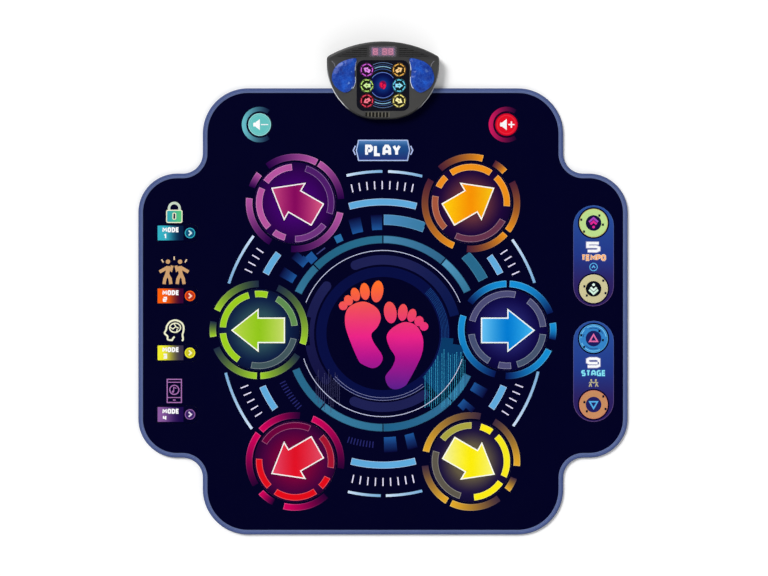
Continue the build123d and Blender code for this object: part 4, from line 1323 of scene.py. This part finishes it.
# %% Volume buttons and the start badge
for key, disc_ink, crescent_ink, plus in (
    ("volume_down", (102, 194, 192), (104, 188, 200), False),
    ("volume_up", (228, 14, 38), (206, 24, 92), True),
):
    pad = "pad_" + key
    x, y = middle_of(pad)
    art = pad_art(pad)
    art.disc(x, y, 21.6, 64, disc_ink, 0)
    art.ring(x, y, 21.6, 20.0, (176, 8, 44) if plus else paler(disc_ink, 0.3), 1)
    art.ring(x, y, 17.6, 16.8, paler(disc_ink, 0.18), 1)
    art.box(x - 9.6, y, 2.4, 3.6, 0.6, WHITE, 2)
    art.shape([[(x - 7.6, y - 4.4), (x + 0.6, y - 10.6), (x + 0.6, y + 10.6), (x - 7.6, y + 4.4)]], WHITE, 3)
    art.box(x + 9.4, y, 6.0 if plus else 6.8, 1.3 if plus else 0.9, 0.3, WHITE, 2)
    if plus:
        art.box(x + 9.4, y, 1.3, 6.0, 0.3, WHITE, 3)
    print_pad(art, pad)
    halo = fades((x - 30, x + 27), (crescent_ink, NAVY), 0)
    cover_art.band((x, y), (25.2, 33.8), 55, 305, halo, 0, across=3)

x, y = middle_of("pad_start")
badge = pad_outline("pad_start")
BADGE_INKS = [(36, 50, 116), (30, 72, 132), (34, 80, 140), (84, 132, 188)]
badge_ink = fades((y - 18, y - 2, y + 8, y + 18), BADGE_INKS)
art = Artwork(pad_surface(badge))
art.shape([moved_out(badge, -1.9)], badge_ink, 0, 4.0)
for outer, inner in ((-0.3, -1.1), (-1.0, -1.8), (-1.7, -2.4)):
    art.shape([moved_out(badge, outer), moved_out(badge, inner)], (176, 196, 240), 1, 3.0)
art.words("PLAY", (x, y), (68, 22), 5.6, (250, 251, 255), 2, 0.5)
print_pad(art, "pad_start")
for way in (1, -1):
    line = [(x + 52.4 * way, y + 8.6), (x + 56.4 * way, y), (x + 52.4 * way, y - 8.6)]
    cover_art.stroke(line, 2.4, (176, 190, 238))
cover_art.make("print_cover", "mat", "cover_cloth", printed_ink)

# %% [markdown]
# ## Repeats
#
# Tick marks, dots and stitches all put one small shape at many places. A Geometry Nodes tree does that
# from a mesh of bare points: each point carries its own turn, each repeat has one size, and the tree puts a
# block or a dot there. The result is baked to a plain mesh, so the export sees ordinary faces.

# %% A tree that puts small shapes on points
GEOMETRY = "NodeSocketGeometry"
repeat_tree, n, given, result = new_group(
    "repeat_on_points",
    [("Points", GEOMETRY), ("Round", "NodeSocketBool"), ("Size", VECTOR), ("Finish", "NodeSocketMaterial")],
    [("Mesh", GEOMETRY)],
    "GeometryNodeTree",
)
block = n.add("GeometryNodeMeshCube", Size=given.outputs["Size"])
ball = n.add("GeometryNodeMeshUVSphere", Segments=10, Rings=6, Radius=0.5)
flattened = n.add("GeometryNodeTransform", Geometry=ball.outputs["Mesh"], Scale=given.outputs["Size"])
either = n.add("GeometryNodeSwitch", input_type="GEOMETRY", Switch=given.outputs["Round"])
n.put(either.inputs["False"], block.outputs["Mesh"])
n.put(either.inputs["True"], flattened.outputs["Geometry"])
turn = n.add("GeometryNodeInputNamedAttribute", data_type="FLOAT", Name="turn")
about_z = n.add("ShaderNodeCombineXYZ", Z=turn.outputs["Attribute"])
copies = n.add(
    "GeometryNodeInstanceOnPoints",
    Points=given.outputs["Points"],
    Instance=either.outputs["Output"],
    Rotation=about_z.outputs["Vector"],
)
real = n.add("GeometryNodeRealizeInstances", Geometry=copies.outputs["Instances"])
coat = n.add(
    "GeometryNodeSetMaterial", Geometry=real.outputs["Geometry"], Material=given.outputs["Finish"]
)
n.set(result, Mesh=coat.outputs["Geometry"])


# %% Bake a repeat
def repeat(name, places, turns, size_mm, round_shape, material, body):
    """One plain mesh of the small shape at every place, in millimetres, turned about Z."""
    mesh = bpy.data.meshes.new(name + "_points")
    mesh.from_pydata((np.array(places) * MM).tolist(), [], [])
    mesh.attributes.new("turn", "FLOAT", "POINT").data.foreach_set("value", np.array(turns, np.float32))
    holder = bpy.data.objects.new(name + "_points", mesh)
    bpy.context.scene.collection.objects.link(holder)
    modifier = holder.modifiers.new("repeat", "NODES")
    modifier.node_group = repeat_tree
    sockets = {s.name: s.identifier for s in repeat_tree.interface.items_tree if s.in_out == "INPUT"}
    modifier[sockets["Round"]] = round_shape
    modifier[sockets["Size"]] = [v * MM for v in size_mm]
    modifier[sockets["Finish"]] = material
    bpy.context.view_layer.update()
    baked = bpy.data.meshes.new_from_object(holder.evaluated_get(bpy.context.evaluated_depsgraph_get()))
    bpy.data.objects.remove(holder)
    baked.name = name
    piece = bpy.data.objects.new(name, baked)
    bpy.context.scene.collection.objects.link(piece)
    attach(piece, body)
    print(name, "-", len(places), "copies,", len(baked.polygons), "faces")


# %% Tick marks on the dial
TICK_INKS = {
    "tick_ink": (225, 220, 245),
    "deep_tick_ink": (36, 38, 104),
    "matrix_ink": (60, 172, 212),
    "dim_matrix_ink": (24, 112, 150),
    "faint_matrix_ink": (66, 66, 108),
}
for name, ink in TICK_INKS.items():
    cloth_finish(name, rgb(*ink), lift=0.0, depth=0.2)
LONG_TICKS = [90.3 + 2.93 * i for i in range(-4, 5)] + [270 + 2.93 * i for i in range(-4, 5)]
LONG_TICKS += [146, 149, 152, 155, 34, 31, 28, 24.5, 201, 204, 207, 210, 213, -21, -24, -27, -30, -33]
DEEP_TICKS = [206 + 1.7 * i for i in range(10)] + [252 + 1.6 * i for i in range(9)]


def ticks(name, radius, angles, size, material):
    turns = np.radians(angles)
    x, y = DIAL[0] + radius * np.cos(turns), DIAL[1] + radius * np.sin(turns)
    clear = np.array([clear_of_pads(*spot) for spot in zip(x, y)])
    x, y, turns = x[clear], y[clear], turns[clear]
    places = np.column_stack([x, y, cover_height(x, y) + 0.03])
    repeat(name, places, turns, size, False, FINISHES[material], "mat")


ticks("dial_ticks", np.where(np.abs(LONG_TICKS) < 40, 277, 282), LONG_TICKS, (15.5, 2.3, 0.2), "tick_ink")
ticks("dial_ticks_deep", 212, DEEP_TICKS, (12, 2.0, 0.2), "deep_tick_ink")

# %% Dotted light columns
COLUMN_PITCH, DOT_STEP = 4.0, 2.5
bright, dim, faint = [], [], []
dice = random.Random(11)
for column in range(20):
    x = 80 + COLUMN_PITCH * column
    y, top = -106 - dice.uniform(0, 34), DIAL[1] - math.sqrt(max(0, 186**2 - x**2))
    bag = bright if column % 3 != 1 else dim
    while y > max(top, -240 + dice.uniform(0, 20)):
        if 112 < math.dist((x, y), DIAL) < 190 and clear_of_pads(x, y):
            bag.append((x, y))
        y -= DOT_STEP
for column in range(12):
    x = -127 + COLUMN_PITCH * column
    y, last = -154 - dice.uniform(0, 30), -200 - dice.uniform(0, 46)
    while y > last:
        if 118 < math.dist((x, y), DIAL) < 182:
            faint.append((x, y))
        y -= DOT_STEP
for name, bag, ink in (
    ("matrix_bright", bright, "matrix_ink"),
    ("matrix_dim", dim, "dim_matrix_ink"),
    ("matrix_faint", faint, "faint_matrix_ink"),
):
    x, y = np.array(bag).T
    places = np.column_stack([x, y, cover_height(x, y) + 0.22])
    still = np.zeros(len(x))
    repeat(name, places, still, (1.25, 1.5, 0.2), False, FINISHES[ink], "mat")

# %% [markdown]
# ## The binding
#
# A woven tape is folded over the raw edge of all the layers and sewn through. Its section is a C with a
# soft outer bulge. Sweeping one section along the outline keeps the tape's ribs square to the edge, so it
# is built as rows of points, with a UV map that measures metres along and across the tape.

# %% Sweep the tape
# Each row: inset, height, and a tone: 0 the tape's own colour, 1 a painted highlight on the rolled edges, 2
# painted shade on the outer wall.
TAPE_SECTION = [
    (8.9, 6.32, 1), (8.8, 6.72, 1), (7.8, 6.95, 1), (6.4, 6.98, 0), (5.6, 6.86, 0), (4.8, 6.98, 0),
    (3.2, 7.1, 0), (1.6, 6.92, 0), (0.5, 6.2, 2), (0.1, 4.6, 2), (0.0, 3.0, 2), (0.2, 1.4, 2),
    (0.9, 0.35, 0), (2.6, 0.06, 0), (6.0, 0.02, 0), (8.3, 0.02, 1), (8.7, 0.2, 1), (8.5, 0.38, 1),
    (1.2, 0.42, 0), (1.05, 3.0, 0), (1.2, 6.3, 0),
]
# The tape's own colour, a painted highlight, and painted shade.
TAPE_TONES_AND_PAINTED_LIGHT = [(77, 92, 141), (99, 113, 158), (50, 62, 106)]
tape_points, tape_uv, tape_tones_and_light = [], [], []
line = np.array(mat_outline(0.0, 3.0))
ahead = np.roll(line, -1, 0) - np.roll(line, 1, 0)
ahead /= np.linalg.norm(ahead, axis=1)[:, None]
inward = np.column_stack([-ahead[:, 1], ahead[:, 0]])
travelled = np.concatenate([[0], np.cumsum(np.linalg.norm(np.diff(line, axis=0), axis=1))])
steps = [math.dist(a[:2], b[:2]) for a, b in zip(TAPE_SECTION, TAPE_SECTION[1:])]
across = np.concatenate([[0], np.cumsum(steps)])
for spot, way, run in zip(line, inward, travelled):
    for (inset, z, shade), width in zip(TAPE_SECTION, across):
        tape_points.append((spot[0] + way[0] * inset, spot[1] + way[1] * inset, z))
        tape_uv.append((run * MM, width * MM))
        tape_tones_and_light.append(TAPE_TONES_AND_PAINTED_LIGHT[shade])
rows, size = len(line), len(TAPE_SECTION)
faces = []
for i in range(rows):
    j = (i + 1) % rows
    for k in range(size):
        m = (k + 1) % size
        faces.append([i * size + k, i * size + m, j * size + m, j * size + k])
binding = make_piece(
    "binding_tape", tape_points, faces, binding_cloth, "mat", inks=tape_tones_and_light
)
uv_map = binding.data.uv_layers.new(name="run")
for loop in binding.data.loops:
    uv_map.data[loop.index].uv = tape_uv[loop.vertex_index]
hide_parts("edge_binding")
print("binding:", round(travelled[-1] / 1000, 2), "m long")

# %% Stitches through the tape
seam = np.array(spaced(mat_outline(5.6, 2.0), 3.6))
seam_way = np.roll(seam, -1, 0) - np.roll(seam, 1, 0)
places = np.column_stack([seam, np.full(len(seam), 6.98)])
angles = np.arctan2(seam_way[:, 1], seam_way[:, 0])
repeat("binding_stitches", places, angles, (2.7, 0.7, 0.55), True, thread, "mat")

# %% [markdown]
# ## Layers under the cover
#
# Between cover and floor lie a spacer with a hole under each pad, two films, a soft foam and a non-slip
# cloth with rubber dots. They only show at the edge or in a cut, but each gets its true outline. The foam,
# the spacer and the bottom cloth are rebuilt here as flat slabs.


# %% Foam, spacer and bottom cloth
def layer(name, node, material, holes=(), inset=1.2, grid=24.0):
    """A flat layer of the mat, as thick as its CAD node."""
    low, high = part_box(node)
    loops = [mat_outline(inset, 8.0), *holes]
    spots, faces = fill(loops, grid_inside(loops, grid, grid / 2))
    made = slab(name, spots, faces, high.z / MM, low.z / MM, material, "mat")
    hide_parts(node)
    return made, (area_of(loops[0]) - sum(area_of(hole) for hole in holes)) * 1e-6


cushion, _ = layer("foam_cushion", "cushion_foam", cut_foam)
spacer, _ = layer("spacer_sheet", "spacer_foam", cut_foam, [pad_outline(pad, 0.5) for pad in PADS])
bottom, bottom_area = layer("bottom_cloth", "base_fabric", base_cloth)

# %% Rubber dots under the mat
DOT_PITCH = 14.0
spots = np.array(grid_inside([mat_outline(13.0)], DOT_PITCH, 3.0))
under_console = (np.abs(spots[:, 0]) < 112) & (spots[:, 1] > 316)
spots = spots[~under_console]
places = np.column_stack([spots, np.full(len(spots), 0.42)])
still = np.zeros(len(spots))
repeat("grip_dots", places, still, (4.2, 4.2, 0.8), True, FINISHES["rubber_black"], "mat")

# %% [markdown]
# ## The console's face
#
# The printed panel is a small copy of the mat: six round pictures round a dial printed as if glowing, and
# its ink has a weak painted glow. It lies on the sloping roof, so its ink follows the roof's line. The
# display behind the clear strip shows three figures made of bars, lit pink.

# %% Panel print
ROOF_FRONT, ROOF_FOLD, ROOF_END = (300.0, 25.6), (434.0, 35.0), (480.0, 47.2)


def slope(y, start, end):
    return start[1] + (y - start[0]) * (end[1] - start[1]) / (end[0] - start[0])


def roof_height(x, y):
    return np.where(y < ROOF_FOLD[0], slope(y, ROOF_FRONT, ROOF_FOLD), slope(y, ROOF_FOLD, ROOF_END))


# Painted glow: the panel's printed ink, and the lens glints that share it, give out a weak light though they
# are no lamp.
painted_glow_ink = cloth_finish("painted_glow_panel_ink", None, 4000.0, 0.02, 0.25, 0.0, glow=0.12)
panel_art = Artwork(roof_height)
HUB = (middle_of("panel_window")[0] - 0.4, middle_of("panel_window")[1] + 0.8)


def hub_ink(spots):
    return blend((18, 62, 140), (6, 10, 62), smooth_step(np.hypot(*(spots - np.array(HUB)).T) / 24))


panel_art.disc(*HUB, 24, 64, hub_ink, 0, 5.0)
for radius, width, ink, spans in (
    (42.5, 0.9, (92, 118, 160), [(64, 116), (244, 296)]),
    (38.5, 0.7, (56, 84, 140), [(62, 118), (242, 298)]),
    (35.0, 1.5, (128, 176, 206), [(64, 116), (244, 296)]),
    (30.5, 0.9, (64, 98, 160), [(58, 122), (238, 302)]),
    (24.0, 1.1, (92, 122, 200), [(34, 146), (214, 326), (160, 200), (-20, 20)]),
):
    for start, end in spans:
        panel_art.band(HUB, (radius - width / 2, radius + width / 2), start, end, ink, 2)
panel_art.shape([ellipse(HUB[0], HUB[1] + 0.5, 6.6, 7.6)], (128, 10, 66), 2)
PANEL_FEET = 0.075
for foot in (LEFT_SOLE, RIGHT_SOLE):
    small = [(HUB[0] + x * PANEL_FEET, HUB[1] + 0.4 + (y - DIAL[1]) * PANEL_FEET) for x, y in foot]
    panel_art.shape([smooth_loop(small, 4)], (222, 26, 70), 3)
PANEL_ICONS = [
    (-30.5, 413.0, (206, 92, 214), 150),
    (30.5, 413.0, (236, 176, 84), 30),
    (-30.5, 383.5, (180, 222, 112), 180),
    (30.5, 383.5, (100, 204, 232), 0),
    (-30.5, 354.8, (232, 66, 92), 210),
    (30.5, 354.8, (240, 226, 130), -30),
]
for x, y, ink, way in PANEL_ICONS:
    panel_art.disc(x, y, 13.0, 48, darker(ink, 0.16), 2)
    for start in range(way, way + 360, 60):
        panel_art.band((x, y), (9.8, 11.6), start + 6, start + 52, ink, 3)
        panel_art.band((x, y), (12.4, 13.0), start + 30, start + 74, darker(ink, 0.6), 3)
    for share, tone, level in ((0.135, paler(ink, 0.3), 4), (0.05, darker(ink, 0.7), 5)):
        arrow = [(x + (a - x) * share, y + (b - y) * share) for a, b in arrow_loop((x, y), way)]
        panel_art.shape([arrow], tone, level)
panel_art.make("print_panel", "mat", "panel_film", painted_glow_ink)

# %% Lit figures
display_ink = cloth_finish("lit_figures", None, 4000.0, 0.02, 0.3, 0.0, glow=0.7)
module_low, module_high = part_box("display_module")
FIGURES_Y = (module_low.y + module_high.y) / 2 / MM
sunk = float(roof_height(0, module_high.y / MM)) - module_high.z / MM
display_art = Artwork(lambda x, y: roof_height(x, y) - sunk)
display_art.box(0, FIGURES_Y, 21.6, 7.2, 0.6, (92, 84, 124), 0)
for x in (-14.5, 3.2, 14.6):
    display_art.box(x, FIGURES_Y, 5.4, 6.8, 0.5, (176, 108, 136), 1)
    bars = [[(x - 2.6, FIGURES_Y + v), (x + 2.6, FIGURES_Y + v)] for v in (-5, 0, 5)]
    sides = [(x + u, FIGURES_Y + v) for u in (-3.4, 3.4) for v in (-2.5, 2.5)]
    bars += [[(a, b - 1.8), (a, b + 1.8)] for a, b in sides]
    for bar in bars:
        display_art.stroke(bar, 1.4, (240, 150, 168), 2)
display_art.make("print_display", "mat", "display_body", display_ink)

# %% [markdown]
# ### Crackled domes, painted glints and painted groove shade
#
# Each lamp cover is a leaf-shaped blue moulding whose face is broken into flat facets, like cracked ice.
# A cap is laid on the CAD lens: inner points get a random nudge, and the mesh stays flat-shaded, so the
# facets catch the lamps one by one. Pale lines beside each lens are painted glints, dark strips in the
# grooves at the console's front are painted shade, and pale lines beside them are painted highlights. A thin
# dark screen under the louvres keeps dust off the loudspeakers.

# %% Lens caps
LEAF = [(51, 432), (54.5, 434), (70, 430.5), (83.5, 423.5), (92.5, 412.5), (96, 398), (93, 387.5),
        (86.5, 379), (74, 371.5), (65.5, 373), (59, 379), (54.5, 387), (53.5, 396), (54.4, 404.5),
        (54.6, 413), (52.8, 424)]
LENS_RISE = 2.4
NUDGE, FACET_STEP = 1.3, 0.3
facet_dice = random.Random(5)


def nudged(value, most):
    return value + facet_dice.uniform(-most, most)


for side, way in (("left", -1), ("right", 1)):
    leaf = moved_out(smooth_loop(LEAF, 3), -0.9)
    inner = [(nudged(x, NUDGE), nudged(y, NUDGE)) for x, y in grid_inside([leaf], 5.2, 2.6)]
    spots, faces = fill([leaf], inner)
    depth = np.array([min(math.dist(spot, edge) for edge in leaf) for spot in spots])
    facets = [facet_dice.uniform(-FACET_STEP, FACET_STEP) for _ in spots]
    roof = roof_height(spots[:, 0], spots[:, 1])
    top = roof + LENS_RISE + 1.5 * smooth_step(depth / 9) + np.where(depth > 0.5, facets, -0.7)
    faces = [face[::way] for face in faces]
    spots = spots * (way, 1)
    name = "lens_cap_" + side
    slab(name, spots, faces, top, roof + 0.4, lens_blue, "mat", smooth=False)
print("lens caps:", len(faces), "facets each")

# %% Painted glints, painted groove shade and speaker screens
lens_glint_art = Artwork(roof_height)
# Painted highlights: pale lines along each lens's inner edge, and a grey line at its outer corner, as glints
# on the bevels.
GLINT_LINES = [[(50.6, 430), (52.2, 421), (52.9, 412)], [(52.2, 400), (52.0, 391), (54.6, 382), (57.4, 378)]]
for way in (-1, 1):
    for line in GLINT_LINES:
        lens_glint_art.stroke([(x * way, y) for x, y in line], 1.1, (226, 232, 246))
    lens_glint_art.stroke([(x * way, y) for x, y in ((97, 430), (92, 424.5), (90.5, 419))], 0.8, (140, 140, 150))
lens_glint_art.make("lens_painted_glints", "mat", "trim_plastic", painted_glow_ink)
GRIP_FIRST, GRIP_PITCH, GRIP_W, GRIP_DEPTH = -31.5, 6.6, 5.2, 0.8
# Painted shade: a dark sheet at the bottom of each groove, where the groove is in shade.
groove_shade_art = Artwork(lambda x, y: roof_height(x, y) - GRIP_DEPTH)
# Painted highlights: a pale line along one edge of each groove.
edges = Artwork(roof_height)
for i in range(7):
    x = GRIP_FIRST + GRIP_PITCH * i
    front = 323.6 + 0.0018 * x * x
    middle, half = (332.8 + front) / 2, (332.8 - front) / 2
    groove_shade_art.box(x, middle, GRIP_W / 2 - 0.9, half, 0.4, (30, 29, 25))
    edges.stroke([(x + GRIP_W / 2 + 0.7, front + 0.6), (x + GRIP_W / 2 + 0.7, 334)], 1.0, (128, 124, 108))
groove_shade_art.make("groove_painted_shade", "mat", "rubber_black", printed_ink)
edges.make("groove_painted_highlights", "mat", "housing_plastic", printed_ink)
screen = Artwork(lambda x, y: roof_height(x, y) - 2.24, root=0.0)
for way in (-1, 1):
    screen.box(44.5 * way, 447, 14, 9.4, 3, (8, 8, 9))
screen.make("speaker_screens", "mat", "black_plastic", printed_ink)

# %% [markdown]
# ## Studio
#
# A pale floor, two wide soft lamps from the sides and a sky that is bright at the horizon and dim
# overhead. Dark cloth mirrors whatever is above it, so the dim zenith keeps the navy deep from above.

# %% Floor, light and camera
def studio_floor():
    mesh = bpy.data.meshes.new("studio_floor")
    mesh.from_pydata([(-30, -30, 0), (30, -30, 0), (30, 30, 0), (-30, 30, 0)], [], [[0, 1, 2, 3]])
    material, nodes, shader = new_finish("studio_floor", Roughness=1.0, Specular_IOR_Level=0.0)
    nodes.set(shader, Base_Color=(0.99, 0.99, 0.99), Emission_Color=(1, 1, 1), Emission_Strength=0.06)
    mesh.materials.append(material)
    floor = bpy.data.objects.new("studio_floor", mesh)
    bpy.context.scene.collection.objects.link(floor)


studio_floor()


def soft_sun(name, azimuth, elevation, strength, spread):
    """A wide lamp far away; azimuth is where it stands, turning left from +X."""
    lamp = bpy.data.lights.new(name, "SUN")
    lamp.energy, lamp.angle = strength, math.radians(spread)
    sun = bpy.data.objects.new(name, lamp)
    a, e = math.radians(azimuth), math.radians(elevation)
    towards = Vector((math.cos(a) * math.cos(e), math.sin(a) * math.cos(e), math.sin(e)))
    sun.rotation_euler = towards.to_track_quat("Z", "Y").to_euler()
    bpy.context.scene.collection.objects.link(sun)


soft_sun("key_lamp", 135, 52, 2.25, 22)
soft_sun("fill_lamp", -60, 40, 0.5, 60)

world = bpy.data.worlds.new("studio_sky")
world.use_nodes = True
bpy.context.scene.world = world
n = Nodes(world.node_tree)
generated = n.add("ShaderNodeTexCoord").outputs["Generated"]
upward = n.add("ShaderNodeSeparateXYZ", Vector=generated).outputs["Z"]
sky = n.ramp(upward, (0.0, 1.0), (0.35, 0.8), (0.75, 0.18), (1.0, 0.06))
n.set(world.node_tree.nodes["Background"], Color=sky, Strength=1.0)

view = bpy.data.cameras.new("camera")
view.lens, view.sensor_width = 150, 36
camera = bpy.data.objects.new("camera", view)
camera.location = (0.0019, 0.0005, 6.086)
bpy.context.scene.collection.objects.link(camera)
bpy.context.scene.camera = camera
bpy.context.scene.view_settings.view_transform = "Standard"
